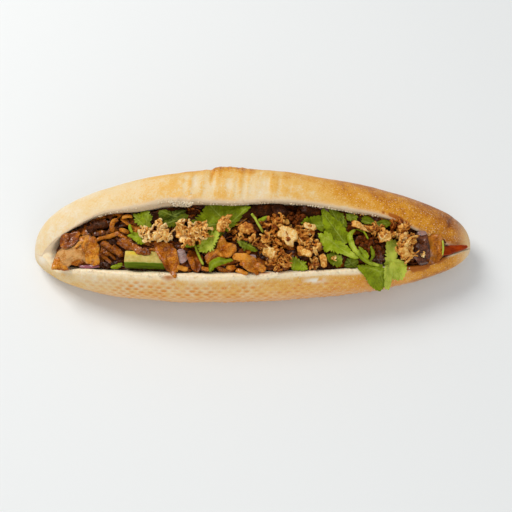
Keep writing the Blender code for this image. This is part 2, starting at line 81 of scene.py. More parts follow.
def noise(points, size, seed=0, octaves=1):
    """Smooth noise from -1 to 1 at points (n, 3) or (n, 2), with features of the given size."""
    points = np.asarray(points, float)
    if points.shape[-1] == 2:
        points = np.concatenate([points, np.zeros(points.shape[:-1] + (1,))], axis=-1)
    total, weight = np.zeros(points.shape[:-1]), 0.0
    for octave in range(octaves):
        p = points / size * 2.03**octave + 11.7 * octave + 3.3 * seed
        base = np.floor(p).astype(np.int64)
        f = p - base
        f = f * f * (3 - 2 * f)
        value = np.zeros(points.shape[:-1])
        for corner in range(8):
            step = [(corner >> k) & 1 for k in range(3)]
            share = np.ones(points.shape[:-1])
            for k in range(3):
                share = share * (f[..., k] if step[k] else 1 - f[..., k])
            value += share * scrambled(*(base[..., k] + step[k] for k in range(3)), seed + octave)
        total += value * 0.5**octave
        weight += 0.5**octave
    return total / weight * 1.6


def stack(*parts):
    return np.stack(parts, axis=-1)


def points_of(path):
    """An array of points, from a text such as "1,2 3,4" or from a list of them."""
    return np.array([point.split(",") for point in path.split()] if isinstance(path, str) else path, float)


def cos_sin(degrees):
    """Cosine and sine of an angle in degrees."""
    return math.cos(math.radians(degrees)), math.sin(math.radians(degrees))


def ease(value, low=0.0, high=1.0):
    """0 below low, 1 above high, and smooth between."""
    value = np.clip((np.asarray(value, float) - low) / (high - low), 0, 1)
    return value * value * (3 - 2 * value)


def bell(value, middle, half):
    """1 at the middle, falling to 0 on both sides of it."""
    return np.exp(-(((np.asarray(value, float) - middle) / half) ** 2))


def stamp(x, x_at, x_half, t, t_at, t_half, x_power=2, t_power=2):
    """1 at one place (x, t) on the roll and 0 outside a patch; higher powers give it a sharper edge."""
    return np.exp(-(((x - x_at) / x_half) ** x_power) - ((t - t_at) / t_half) ** t_power)


def world(x, w, h):
    """World points at places along the roll, across its opening and out of it."""
    return stack(x, w * UP_W[1] + h * UP_H[1], w * UP_W[2] + h * UP_H[2])


def flat(points):
    """(x, w, h) of world points."""
    return stack(points[..., 0], points @ UP_W, points @ UP_H)


def between(before, a, b, after, f):
    """Smooth curve from a to b, for shares f of the way."""
    return 0.5 * (2 * a + (b - before) * f + (2 * before - 5 * a + 4 * b - after) * f**2
                  + (3 * a - before - 3 * b + after) * f**3)


# ---- Meshes ----------------------------------------------------------------------------------------------
class Soup:
    """Collects bodies of vertices, faces and values into one mesh."""

    def __init__(self):
        self.points, self.faces, self.values, self.count = [], [], {}, 0
        self.top = FLAKES_TOP

    def add(self, points, faces, **values):
        points = np.asarray(points, float).reshape(-1, 3)
        self.points.append(points)
        self.faces += [np.asarray(group, np.int64) + self.count for group in faces]
        for key, value in values.items():
            row = np.broadcast_to(np.asarray(value, float).reshape(-1), (len(points),))
            self.values.setdefault(key, []).append(row)
        self.count += len(points)

    def add_tube(self, points, sides, turned=False, **values):
        """Adds a closed tube of rings; turned is set where its rings wind the other way."""
        count, k = len(points), np.arange(sides)
        skin = grid_faces(count // sides, sides)
        ends = [ring.mean(axis=0, keepdims=True) for ring in (points[:sides], points[-sides:])]
        caps = [fan(count, k, flip=not turned), fan(count + 1, count - sides + k, flip=turned)]
        self.add(np.vstack([points, *ends]), [skin[:, ::-1] if turned else skin, *caps], **values)

    def make(self, name, paint, replaces=()):
        mesh = bpy.data.meshes.new(name)
        points = np.concatenate(self.points)
        mesh.vertices.add(len(points))
        mesh.vertices.foreach_set("co", points.ravel())
        sizes = np.concatenate([np.full(len(f), f.shape[1]) for f in self.faces])
        mesh.loops.add(int(sizes.sum()))
        corners = np.concatenate([f.ravel() for f in self.faces])
        mesh.loops.foreach_set("vertex_index", corners.astype(np.int32))
        mesh.polygons.add(len(sizes))
        mesh.polygons.foreach_set("loop_start", np.concatenate([[0], np.cumsum(sizes)[:-1]]).astype(np.int32))
        mesh.update(calc_edges=True)
        for key, rows in self.values.items():
            mesh.attributes.new(key, "FLOAT", "POINT").data.foreach_set("value", np.concatenate(rows))
        mesh.validate()
        mesh.shade_smooth()
        mesh.materials.append(PAINTS[paint])
        piece = bpy.data.objects.new(name, mesh)
        bpy.context.scene.collection.objects.link(piece)
        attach(piece, "root")
        if replaces:
            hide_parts(*replaces)
        return piece


def grid_faces(rows, columns, start=0):
    """Quads of a grid of rows, each row closed into a ring."""
    r, c = np.meshgrid(np.arange(rows - 1), np.arange(columns), indexing="ij")
    n = (c + 1) % columns
    quads = stack(r * columns + c, r * columns + n, (r + 1) * columns + n, (r + 1) * columns + c)
    return quads.reshape(-1, 4) + start


def fan(middle, ring, flip=False):
    """Triangles from one vertex to all sides of a ring."""
    ring = np.asarray(ring)
    following, middle = np.roll(ring, -1), np.full(len(ring), middle)
    return stack(middle, following, ring) if flip else stack(middle, ring, following)


def normals_of(grid):
    """Normals of a grid (rows, columns, 3) whose rows are rings."""
    across = (np.roll(grid, -1, axis=1) - np.roll(grid, 1, axis=1)) / 2
    normal = np.cross(across, np.gradient(grid, axis=0))
    return normal / np.maximum(np.linalg.norm(normal, axis=-1, keepdims=True), 1e-12)


def tree_of(names):
    """A search tree of CAD nodes."""
    points, faces = [], []
    for name in names:
        mesh, start = frame["nodes"][name].data, len(points)
        points += [v.co.copy() for v in mesh.vertices]
        faces += [[start + i for i in p.vertices] for p in mesh.polygons]
    return BVHTree.FromPolygons(points, faces)


def facing(rng, lean):
    """A random rotation that leans from lying flat by up to an angle."""
    spin, tip, way = rng.uniform(0, 2 * math.pi), rng.normal(0, lean), rng.uniform(0, 2 * math.pi)
    a = np.array([[math.cos(spin), -math.sin(spin), 0], [math.sin(spin), math.cos(spin), 0], [0, 0, 1]])
    axis = np.array([math.cos(way), math.sin(way), 0])
    k = np.array([[0, -axis[2], axis[1]], [axis[2], 0, -axis[0]], [-axis[1], axis[0], 0]])
    b = np.eye(3) + math.sin(tip) * k + (1 - math.cos(tip)) * k @ k
    return np.stack([np.array([1.0, 0, 0]), UP_W, UP_H], axis=1) @ b @ a


def lump(soup, middle, size, seed, rough=0.35, rows=9, sides=12, **values):
    """A craggy crumb of about the given size across."""
    polar = (np.arange(1, rows) / rows * math.pi)[:, None]
    turn = (np.arange(sides) * 2 * math.pi / sides)[None]
    ball = stack(np.sin(polar) * np.cos(turn), np.sin(polar) * np.sin(turn), np.cos(polar) + 0 * turn)
    crag = noise(ball + seed * 1.7, 0.55, seed, 3)
    points = (ball * (1 + rough * crag)[..., None] * size / 2).reshape(-1, 3)
    points = np.vstack([points, [[0, 0, size / 2], [0, 0, -size / 2]]]) * (1.0, 0.85, 0.7)
    points = points @ facing(np.random.default_rng(seed), 0.5).T + middle
    count, k = (rows - 1) * sides, np.arange(sides)
    # The crag's hollows darken the crumb: painted shade.
    depth = np.concatenate([np.clip(-crag.ravel(), 0, 1), [0, 0]])
    values = {key: (depth if key in ("edge", "deep") else value) for key, value in values.items()}
    caps = [fan(count, k, flip=True), fan(count + 1, count - sides + k)]
    soup.add(points, [grid_faces(rows - 1, sides), *caps], **values)


# ---- Materials -------------------------------------------------------------------------------------------
class Value:
    """An output in a paint's node tree; arithmetic with it adds Math nodes."""

    def __init__(self, paint, socket):
        self.paint, self.socket = paint, socket

    def math(self, operation, a, b):
        return self.paint.node("ShaderNodeMath", {0: a, 1: b}, operation=operation)

    def __add__(self, other):
        return self.math("ADD", self, other)

    def __sub__(self, other):
        return self.math("SUBTRACT", self, other)

    def __rsub__(self, other):
        return self.math("SUBTRACT", other, self)

    def __mul__(self, other):
        return self.math("MULTIPLY", self, other)

    def __pow__(self, other):
        return self.math("POWER", self, other)

    def window(self, low, high, to_low=0.0, to_high=1.0):
        """Eases from to_low where this is below low to to_high where it is above high."""
        inputs = {"Value": self, "From Min": low, "From Max": high, "To Min": to_low, "To Max": to_high}
        return self.paint.node("ShaderNodeMapRange", inputs, interpolation_type="SMOOTHSTEP")

    def ramp(self, *stops):
        made = self.paint.node("ShaderNodeValToRGB", {"Fac": self})
        colours = made.socket.node.color_ramp
        colours.interpolation = "EASE"
        while len(colours.elements) < len(stops):
            colours.elements.new(0.5)
        for end, (place, colour) in zip(colours.elements, stops):
            end.position, end.color = place, (*colour, 1)
        return made


class Paint:
    """A Principled material and short ways to add nodes to it."""

    def __init__(self, name, mirror=0.5, tint=(1, 1, 1), scatter=(), **sockets):
        """scatter is the weight, the depth in metres and the share of that depth for each colour."""
        self.material = bpy.data.materials.new(name)
        self.material.use_nodes = True
        self.tree = self.material.node_tree
        self.shader = self.tree.nodes["Principled BSDF"]
        self.place = Value(self, self.tree.nodes.new("ShaderNodeTexCoord").outputs["Object"])
        sockets.update(Specular_IOR_Level=mirror, Specular_Tint=tint)
        sockets.update(zip(("Subsurface_Weight", "Subsurface_Scale", "Subsurface_Radius"), scatter))
        for socket, value in sockets.items():
            self.put(self.shader.inputs[socket.replace("_", " ")], value)

    def put(self, socket, value):
        if isinstance(value, Value):
            self.tree.links.new(value.socket, socket)
        else:
            socket.default_value = (*value, 1) if socket.type == "RGBA" and len(value) == 3 else value

    def node(self, kind, inputs, output=0, **settings):
        made = self.tree.nodes.new(kind)
        for key, value in settings.items():
            setattr(made, key, value)
        for key, value in inputs.items():
            self.put(made.inputs[key], value)
        return Value(self, made.outputs[output])

    def values(self, *names):
        return [self.node("ShaderNodeAttribute", {}, "Fac", attribute_name=name) for name in names]

    def grain(self, size_mm, detail=3.0, rough=0.5, stretch=None):
        """Noise from 0 to 1 with features of a size in mm, stretched along x, y and z by shares."""
        place = self.place
        if stretch:
            place = self.node("ShaderNodeMapping", {"Vector": place, "Scale": stretch})
        inputs = {"Vector": place, "Scale": 1000 / size_mm, "Detail": detail, "Roughness": rough}
        return self.node("ShaderNodeTexNoise", inputs, "Fac")

    def cells(self, size_mm):
        return self.node("ShaderNodeTexVoronoi", {"Vector": self.place, "Scale": 1000 / size_mm}, "Distance")

    def mix(self, share, a, b):
        return self.node("ShaderNodeMix", {0: share, 6: a, 7: b}, 2, data_type="RGBA")

    def finish(self, layers, **sockets):
        """Links what the shader takes, with bumps as (height, depth in mm) laid one on another."""
        normal = {}
        for height, depth in layers:
            inputs = {"Height": height, "Distance": depth * MM, "Strength": 1.0, **normal}
            normal = {"Normal": self.node("ShaderNodeBump", inputs)}
        for socket, value in (sockets | normal).items():
            self.put(self.shader.inputs[socket.replace("_", " ")], value)
        return self.material


def bread_paint():
    paint = Paint("bread", 0.24, (1.0, 0.85, 0.65), (0.08, 0.002, (1.0, 0.5, 0.25)))
    toast, crumb, nub, scuff, stain, pale = paint.values("toast", "crumb", "nub", "scuff", "stain", "pale")
    baked = toast + paint.grain(9, 4, 0.6).window(0.25, 0.75, -0.11, 0.11)
    baked = baked + paint.grain(1.1, 3, 0.7).window(0.3, 0.75, -0.08, 0.10)
    crust = baked.ramp((0.0, (0.82, 0.71, 0.53)), (0.25, (0.80, 0.60, 0.32)), (0.45, (0.79, 0.46, 0.115)),
                       (0.65, (0.69, 0.30, 0.022)), (0.85, (0.45, 0.145, 0.010)), (1.0, (0.22, 0.055, 0.006)))
    crust = paint.mix(pale * 0.62, crust, (0.78, 0.57, 0.385))
    crust = paint.mix(nub * 1.3, crust, (0.70, 0.285, 0.060))
    # Whitish specks, more of them where the crust is browner.
    pale_specks = paint.grain(0.85, 2, 0.6).window(0.60, 0.70) * toast.window(0.30, 0.60, 0.25, 0.60)
    crust = paint.mix(pale_specks, crust, (0.90, 0.80, 0.64))
    inside = paint.grain(2.6, 5, 0.7).ramp((0.30, (0.86, 0.65, 0.38)), (0.5, (0.92, 0.76, 0.51)),
                                           (0.75, (0.95, 0.86, 0.69)))
    # Crumb mixed to a darker beige where pale is set: painted shade on the far lip's wall, and duller torn
    # crumbs.
    inside = paint.mix(pale * 0.85, inside, (0.61, 0.46, 0.30))
    colour = paint.mix(crumb, crust, inside)
    # Whitish patches: partly a painted highlight, partly whitish crumb.
    colour = paint.mix(scuff, colour, (0.90, 0.84, 0.72))
    colour = paint.mix(stain.window(0.10, 0.50), colour, (0.42, 0.12, 0.012))
    return paint.finish([(paint.grain(0.5, 3, 0.6), 0.06), (paint.grain(2.4, 3, 0.55), 0.12),
                         (paint.cells(1.5) * crumb, 0.22)],
                        Base_Color=colour, Roughness=baked.window(0.2, 0.9, 0.66, 0.42) - stain * 0.25)


def meat_paint(name, dark, mid, light, gloss, mirror=0.30):
    paint = Paint(name, mirror, (1.0, 0.55, 0.28), (0.10, 0.0015, (1.0, 0.35, 0.12)), Coat_Roughness=0.14)
    tone, deep, shine = paint.values("tone", "deep", "shine")
    blotch, fibre = paint.grain(5.0, 4, 0.6), paint.grain(0.8, 4, 0.65)
    share = tone + blotch.window(0.3, 0.7, -0.32, 0.32) + fibre.window(0.3, 0.7, -0.28, 0.28)
    share = share + paint.grain(0.45, 2, 0.6).window(0.3, 0.7, -0.16, 0.16)
    colour = share.ramp((0.05, dark), (0.5, mid), (0.95, light))
    # Darker in the hollows of the meat, a painted shade, and along its crisped rims, which are its own darker
    # colour.
    colour = paint.mix(deep * 0.75, colour, tuple(0.35 * c for c in dark))
    glazed = shine.window(0.94, 1.0)
    patchy = glazed.math("MAXIMUM", paint.grain(2.2, 2, 0.5).window(0.44, 0.58), glazed)
    wet = shine ** 1.5 * patchy
    # Grey-pink patches on the wet meat: a painted reflection of the light, mixed into the base colour.
    painted_sheen = wet * paint.grain(1.6, 2, 0.5).window(0.50, 0.58, 0, 0.42) * (1.0 - glazed * 0.85)
    calm = 1.0 - shine ** 4.0 * 0.95
    return paint.finish([(fibre * calm, 0.22), (paint.grain(1.8, 3, 0.55) * calm, 0.26),
                         (paint.grain(0.35, 2, 0.5), 0.04)],
                        Base_Color=paint.mix(painted_sheen, colour, (0.33, 0.23, 0.21)), Coat_Weight=wet * 0.9,
                        Roughness=blotch.window(0.3, 0.7, gloss + 0.05, gloss + 0.28))


def leaf_paint():
    paint = Paint("cilantro", 0.16, (0.75, 1.0, 0.4), (0.12, 0.001, (0.4, 1.0, 0.1)), Roughness=0.42)
    tone, vein = paint.values("tone", "vein")
    share = tone + paint.grain(4, 3, 0.6).window(0.3, 0.7, -0.12, 0.12)
    share = share + paint.grain(0.7, 2, 0.6).window(0.3, 0.7, -0.05, 0.05)
    colour = share.ramp((0.0, (0.042, 0.060, 0.001)), (0.35, (0.135, 0.165, 0.001)),
                        (0.65, (0.250, 0.318, 0.005)), (1.0, (0.480, 0.540, 0.070)))
    return paint.finish([(paint.grain(0.6, 2, 0.5), 0.05)],
                        Base_Color=paint.mix(vein * 0.45, colour, (0.50, 0.58, 0.12)))


def onion_paint():
    paint = Paint("red_onion", scatter=(0.2, 0.0015), Roughness=0.25, Coat_Weight=0.3, Coat_Roughness=0.12)
    rim, tone = paint.values("rim", "tone")
    flesh = (tone + paint.grain(1.6, 2, 0.5, (0.2, 1, 1)).window(0.3, 0.7, -0.2, 0.2)).ramp(
        (0.0, (0.24, 0.12, 0.09)), (0.5, (0.36, 0.22, 0.19)), (1.0, (0.46, 0.31, 0.29)))
    return paint.finish([], Base_Color=paint.mix(rim, flesh, (0.27, 0.040, 0.085)))


def fried_paint():
    paint = Paint("fried_onion", 0.35, (1.0, 0.8, 0.55), (0.12, 0.001, (1.0, 0.5, 0.2)), Roughness=0.5)
    tone, edge = paint.values("tone", "edge")
    # Darker where edge is set: in the crag's hollows a painted shade, along the thin rims of a crisp their
    # browner colour.
    share = tone + paint.grain(1.5, 4, 0.65).window(0.3, 0.7, -0.24, 0.24) - edge * 0.25
    colour = share.ramp((0.0, (0.17, 0.028, 0.002)), (0.28, (0.48, 0.145, 0.012)),
                        (0.5, (0.71, 0.335, 0.055)), (0.75, (0.89, 0.55, 0.170)), (1.0, (0.95, 0.72, 0.36)))
    return paint.finish([(paint.grain(0.45, 3, 0.6), 0.14), (paint.grain(1.2, 3, 0.6), 0.2)],
                        Base_Color=colour)


def cucumber_paint():
    paint = Paint("cucumber", 0.18, (0.8, 1.0, 0.5), (0.15, 0.002), Roughness=0.35)
    skin, seed = paint.values("skin", "seed")
    flesh = paint.grain(3.0, 3, 0.6).ramp((0.3, (0.48, 0.36, 0.08)), (0.7, (0.62, 0.50, 0.165)))
    flesh = paint.mix(seed * 0.75, flesh, (0.80, 0.56, 0.03))
    green = paint.grain(1.6, 3, 0.6, (0.08, 1, 1)).ramp(
        (0.3, (0.052, 0.085, 0.001)), (0.7, (0.145, 0.215, 0.002)))
    under = paint.mix(skin.window(0.15, 0.45), flesh, (0.36, 0.46, 0.08))
    return paint.finish([(paint.grain(0.8, 3, 0.6), 0.08)],
                        Base_Color=paint.mix(skin.window(0.5, 0.75), under, green))


def carrot_paint():
    paint = Paint("carrot", 0.15, (1.0, 0.4, 0.2), (0.10, 0.0015), Roughness=0.5)
    colour = paint.grain(2.2, 3, 0.6, (0.25, 1, 1)).ramp(
        (0.3, (0.19, 0.014, 0.001)), (0.55, (0.33, 0.036, 0.002)), (0.8, (0.48, 0.085, 0.006)))
    return paint.finish([(paint.grain(0.9, 3, 0.6, (0.3, 1, 1)), 0.1)], Base_Color=colour)


PAINTS = {
    "bread": bread_paint(), "leaf": leaf_paint(), "onion": onion_paint(), "fried": fried_paint(),
    "cucumber": cucumber_paint(), "carrot": carrot_paint(),
    "dark": meat_paint("meat_dark", (0.015, 0.003, 0.001), (0.056, 0.011, 0.0015), (0.17, 0.038, 0.004),
                       0.24, 0.14),
    "brown": meat_paint("meat_brown", (0.090, 0.017, 0.001), (0.29, 0.070, 0.003), (0.51, 0.170, 0.010),
                        0.22),
    "gold": meat_paint("meat_gold", (0.20, 0.038, 0.001), (0.46, 0.128, 0.003), (0.70, 0.29, 0.030), 0.22),
    "pale": meat_paint("meat_pale", (0.28, 0.080, 0.007), (0.49, 0.195, 0.036), (0.65, 0.35, 0.125), 0.28),
}

# ---- The roll --------------------------------------------------------------------------------------------
LEFT_TIP, RIGHT_TIP = (corner[0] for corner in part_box("bread_roll"))
FULLEST = -0.014  # x of the roll's fullest section
SECTION_SCALE = 0.990
# Places 0 to 21 round a section as (y, z) in mm, as the solid has them, with the cut open and shut: from the
# near lip under the roll to the far lip, and back through the pocket.
OPEN = points_of("-38.6,40.8 -42.4,32.5 -43,22 -37,8.5 -23,0.6 -15,0 0,0 15,0 30,5 40.5,19 42.5,34 35.5,50 "
                 "22,59.5 9.5,58 9.3,54.6 15,43 13.5,29 4,19.5 -10,17.5 -21,24.5 -29.5,34.5 -35.2,42.2")
SHUT = points_of("-32,46 -40,36 -42.8,24 -37.5,9.5 -23,1 -15,0 0,0 15,0 30,5 40.5,19 42.5,34 31,52.5 2,60.5 "
                 "-30,48.5 -28,46.6 -20,41.5 -11,35.5 -1,29 -2.6,27.2 -12.6,33.6 -21.6,39.7 -30.2,44.8")
NEARNESS = np.array([1] * 6 + [0.5] + [0] * 10 + [0.35, 0.65] + [1] * 3)  # 1 on the near half, 0 on the far
# How far the places near each lip move along y and z for each mm of sag.
NEAR_MOVES = {0: (-0.30, -0.80), 1: (-0.05, -0.40), 19: (-0.10, -0.20), 20: (-0.30, -0.50),
              21: (-0.35, -0.75)}
FAR_MOVES = {12: (-0.35, -0.25), 13: (-0.90, -0.45), 14: (-0.85, -0.45), 15: (-0.30, -0.15)}
FAR_LIP = 13
CUT_START = -0.1320
# Stretches of places and the number of points in each.
SPANS = ((0, 1, 18), (1, 4, 64), (4, 8, 26), (8, 12, 46), (12, 13, 16), (13, 15, 18), (15, 20, 10),
         (20, 22, 14))
PITCH_X, PITCH_S = 5.65 * MM, 2.85 * MM  # holes of the baking pan, along the roll and round it


def fullness(x):
    """The share of the fullest section at x, and the share of the way to the tip."""
    end = np.where(x > FULLEST, RIGHT_TIP, LEFT_TIP)
    distance = np.minimum((x - FULLEST) / (end - FULLEST), 0.9995)
    return (1 - distance ** np.where(x > FULLEST, 1.65, 2.0)) ** 0.462, distance


def gapes(x):
    """How open the near lip and the far lip are."""
    near = np.minimum(ease(x - CUT_START, 0, 0.010), ease(RIGHT_TIP - x, 0, 0.036) ** 1.2)
    far = np.minimum(ease(x - CUT_START, 0, 0.046) ** 0.25, ease(RIGHT_TIP - x, 0, 0.072) ** 0.62)
    return near, far


def roll_grid(xs, ts):
    """Points of the roll at places xs along it and places ts round its section."""
    near, far = gapes(xs)
    share = near[:, None] * NEARNESS + far[:, None] * (1 - NEARNESS)
    named = SHUT[None] * (1 - share)[..., None] + OPEN[None] * share[..., None]
    near_sag = 2.0 * bell(xs, -0.015, 0.035) + 3.0 * bell(xs, 0.103, 0.013)
    near_sag += 10.5 * (1 - ease(xs, -0.134, -0.098))
    far_sag = 2.4 * bell(xs, -0.012, 0.018) + 2.0 * bell(xs, 0.068, 0.020) - 2.0 * bell(xs, -0.053, 0.014)
    for moves, depth in ((NEAR_MOVES, near * near_sag), (FAR_MOVES, far * far_sag)):
        for index, move in moves.items():
            named[:, index] += depth[:, None] * np.array(move)
    k = np.floor(ts).astype(int)
    ring = between(*(named[:, (k + step) % len(OPEN)] for step in (-1, 0, 1, 2)), (ts - k)[None, :, None])
    depth = np.minimum(ease(xs, CUT_START + 0.004, CUT_START + 0.020),
                       0.35 + 0.65 * ease(RIGHT_TIP - xs, 0, 0.008))
    share = np.clip((ts - FAR_LIP) / (len(OPEN) - FAR_LIP), 0, 1)[None, :, None]
    straight = named[:, FAR_LIP:FAR_LIP + 1] * (1 - share) + named[:, :1] * share
    inside = (ts > FAR_LIP)[None, :, None]
    ring = np.where(inside, straight + (ring - straight) * depth[:, None, None], ring)
    ring[..., 1] = np.maximum(ring[..., 1], 0)
    size, distance = fullness(xs)
    ring = ring * (MM * SECTION_SCALE * size)[:, None, None]
    right = xs > FULLEST
    ring[..., 0] += np.where(right, 0.0020 * distance**3, -0.0060 * distance * (1 - distance))[:, None]
    ring[..., 1] += (np.where(right, 0.0080, 0.0045) * distance**5)[:, None]
    return np.concatenate([np.broadcast_to(xs[:, None, None], ring.shape[:2] + (1,)), ring], axis=-1)


def pan_dots(grid, x, arc):
    """The raised nubs that a perforated baking pan leaves on the bottom crust."""
    row = np.round(arc / PITCH_S)
    column = np.round(x / PITCH_X - 0.5 * (row % 2))
    jitter = stack(column, row, 0 * row) * 7.31
    off_x = x - (column + 0.5 * (row % 2)) * PITCH_X + 0.0005 * noise(jitter, 1.0, 1)
    off_s = arc - row * PITCH_S + 0.0004 * noise(jitter, 1.0, 2)
    dot = np.exp(-((off_x / 0.00185) ** 2 + (off_s / 0.00125) ** 2) ** 1.3)
    where = ease(arc, -0.001, 0.006) * (1 - ease(arc, 0.085, 0.100))
    where = where * ease(x, -0.115, -0.08) * (1 - ease(x, 0.085, 0.115))
    dot = dot * where * (0.76 + 0.30 * noise(jitter, 1.0, 3))
    return dot * (0.65 + 0.35 * ease(noise(grid, 0.02, 21, 2), -0.6, 0.2))


def top_marks(x, t):
    """The place of the wrinkled ear along the top, and the streaks, the seam and the crease beside it."""
    ear_x = ease(x, -0.0262, -0.0240) * (1 - ease(x, -0.014, 0.004))
    streak = noise(stack(x + 0.0012 * t, t * 0.0016), 0.0024, 33, 3)
    streak = streak * stamp(x, -0.012, 0.036, t, 11.9, 1.0, 4, 4)
    seam = stamp(x, -0.0252, 0.0011, t, 11.5, 0.75, 2, 4)
    crease = stamp(x - 0.1255 + 0.004 * (t - 11.5), 0, 0.0011, t, 11.6, 0.9, 2, 4)
    return ear_x, streak, seam, crease


def browning(grid, x, t, marks):
    """Pale at the left, golden at the right, brownest along the top of the far half."""
    along, far_half, crest = ease(x, -0.13, 0.13), ease(t, 7.5, 10), bell(t, 11.0, 1.3)
    toast_far = 0.10 + 0.48 * along**1.1 + 0.20 * bell(x, -0.045, 0.05) + 0.22 * crest * ease(x, -0.06, 0.10)
    # Paler near x = 8 mm off the crest of the far half: a painted highlight.
    toast_far -= 0.12 * bell(x, 0.008, 0.02) * (1 - crest)
    toast_near = 0.20 + 0.32 * along + 0.22 * bell(t, 2.8, 1.3)
    toast = toast_near * (1 - far_half) + toast_far * far_half
    toast += 0.10 * ease(x, 0.115, 0.138) * far_half
    toast += 0.07 * noise(grid, 0.022, 2, 3)
    toast -= 0.10 * bell(x, -0.022, 0.05) * bell(t, 12.3, 0.7)
    toast += 0.07 * bell(x, 0.072, 0.030) * far_half
    toast += 0.09 * ease(x, 0.080, 0.110) - 0.42 * ease(x, 0.1290, 0.1385)
    ear_x, streak, seam, crease = marks
    toast += 0.34 * ear_x * bell(t, 11.15, 0.34) * (0.6 + 0.4 * noise(grid * (6, 1, 1), 0.006, 9))
    toast += 0.12 * stamp(x, -0.020, 0.036, t, 11.0, 0.50, 4)
    return toast + 0.17 * streak + 0.26 * seam + 0.10 * crease


def crust_relief(grid, x, t, size, crumb, dot, marks):
    """How far the surface stands out of the smooth roll, in metres."""
    ear_x, streak, seam, crease = marks
    push = 0.45 * MM * noise(grid, 0.026, 1, 2) + 0.13 * MM * noise(grid, 0.0055, 4, 3)
    push = push * (1 - crumb) * ease(size, 0.15, 0.5)
    push += 0.62 * MM * dot + 0.42 * MM * streak * (1 - crumb) - 0.5 * MM * seam
    ear = ear_x * bell(t, 11.15, 0.34)
    wrinkle = noise(grid * (5, 0.8, 0.8), 0.006, 31, 2)
    push += ear * (1.2 * MM + 0.5 * MM * wrinkle) - 0.6 * MM * ear_x * bell(t, 11.78, 0.16)
    push -= 0.55 * MM * crease
    lip = ease(t, 13.1, 13.9) * (1 - ease(t, 14.3, 16.0)) * (1.3 + 2.2 * bell(x, -0.058, 0.020))
    push += lip * MM * ease(size, 0.5, 0.9)
    torn = 0.16 * MM * noise(grid, 0.0021, 41, 4) + 0.28 * MM * noise(grid, 0.008, 42, 2)
    push += crumb * torn * ease(size, 0.1, 0.6)
    tear = stamp(x, -0.0425, 0.0075, t, 13.4, 0.55, 4)
    push += tear * (1.3 * MM + 1.3 * MM * noise(grid, 0.003, 51, 3))
    bump = np.exp(-(((x - 0.0125) / 0.0050) ** 4)) * ease(t, 21.2, 21.6)
    push += bump * (0.9 * MM + 0.8 * MM * noise(grid, 0.0028, 52, 3))
    return np.where(grid[..., 2] < 0.0006, 0, push)  # what the roll rests on stays flat


def stains(grid, x, t, rim):
    """Sauce: a spill on the far lip, a smear on the near lip, drips on and inside it, speckles at the left."""
    spill = stamp(x, 0.0873, 0.0068, t, 12.84, 0.15, 4) * ease(noise(grid, 0.004, 71, 2), -1.0, -0.1)
    smear = stamp(x, 0.1035, 0.0190, rim, -0.70, 1.15, 4, 4) * ease(noise(grid, 0.005, 72, 2), -1.1, 0.0)
    drip = stamp(x, -0.0505, 0.0055, rim, -0.30, 0.60)
    drips = ease(rim, -2.4, -1.8) * (1 - ease(rim, -1.0, -0.3)) * ease(noise(grid, 0.009, 74, 2), -0.1, 0.5)
    drips = drips * 0.34 * (1 - ease(x, 0.01, 0.03)) * ease(x, -0.06, -0.04)
    speckle = stamp(x, -0.1215, 0.0055, t, 21.0, 1.6) * ease(noise(grid, 0.0026, 73, 2), -0.1, 0.6)
    return np.maximum.reduce([spill, 0.9 * smear, 0.42 * drip, drips, 0.3575 * speckle])


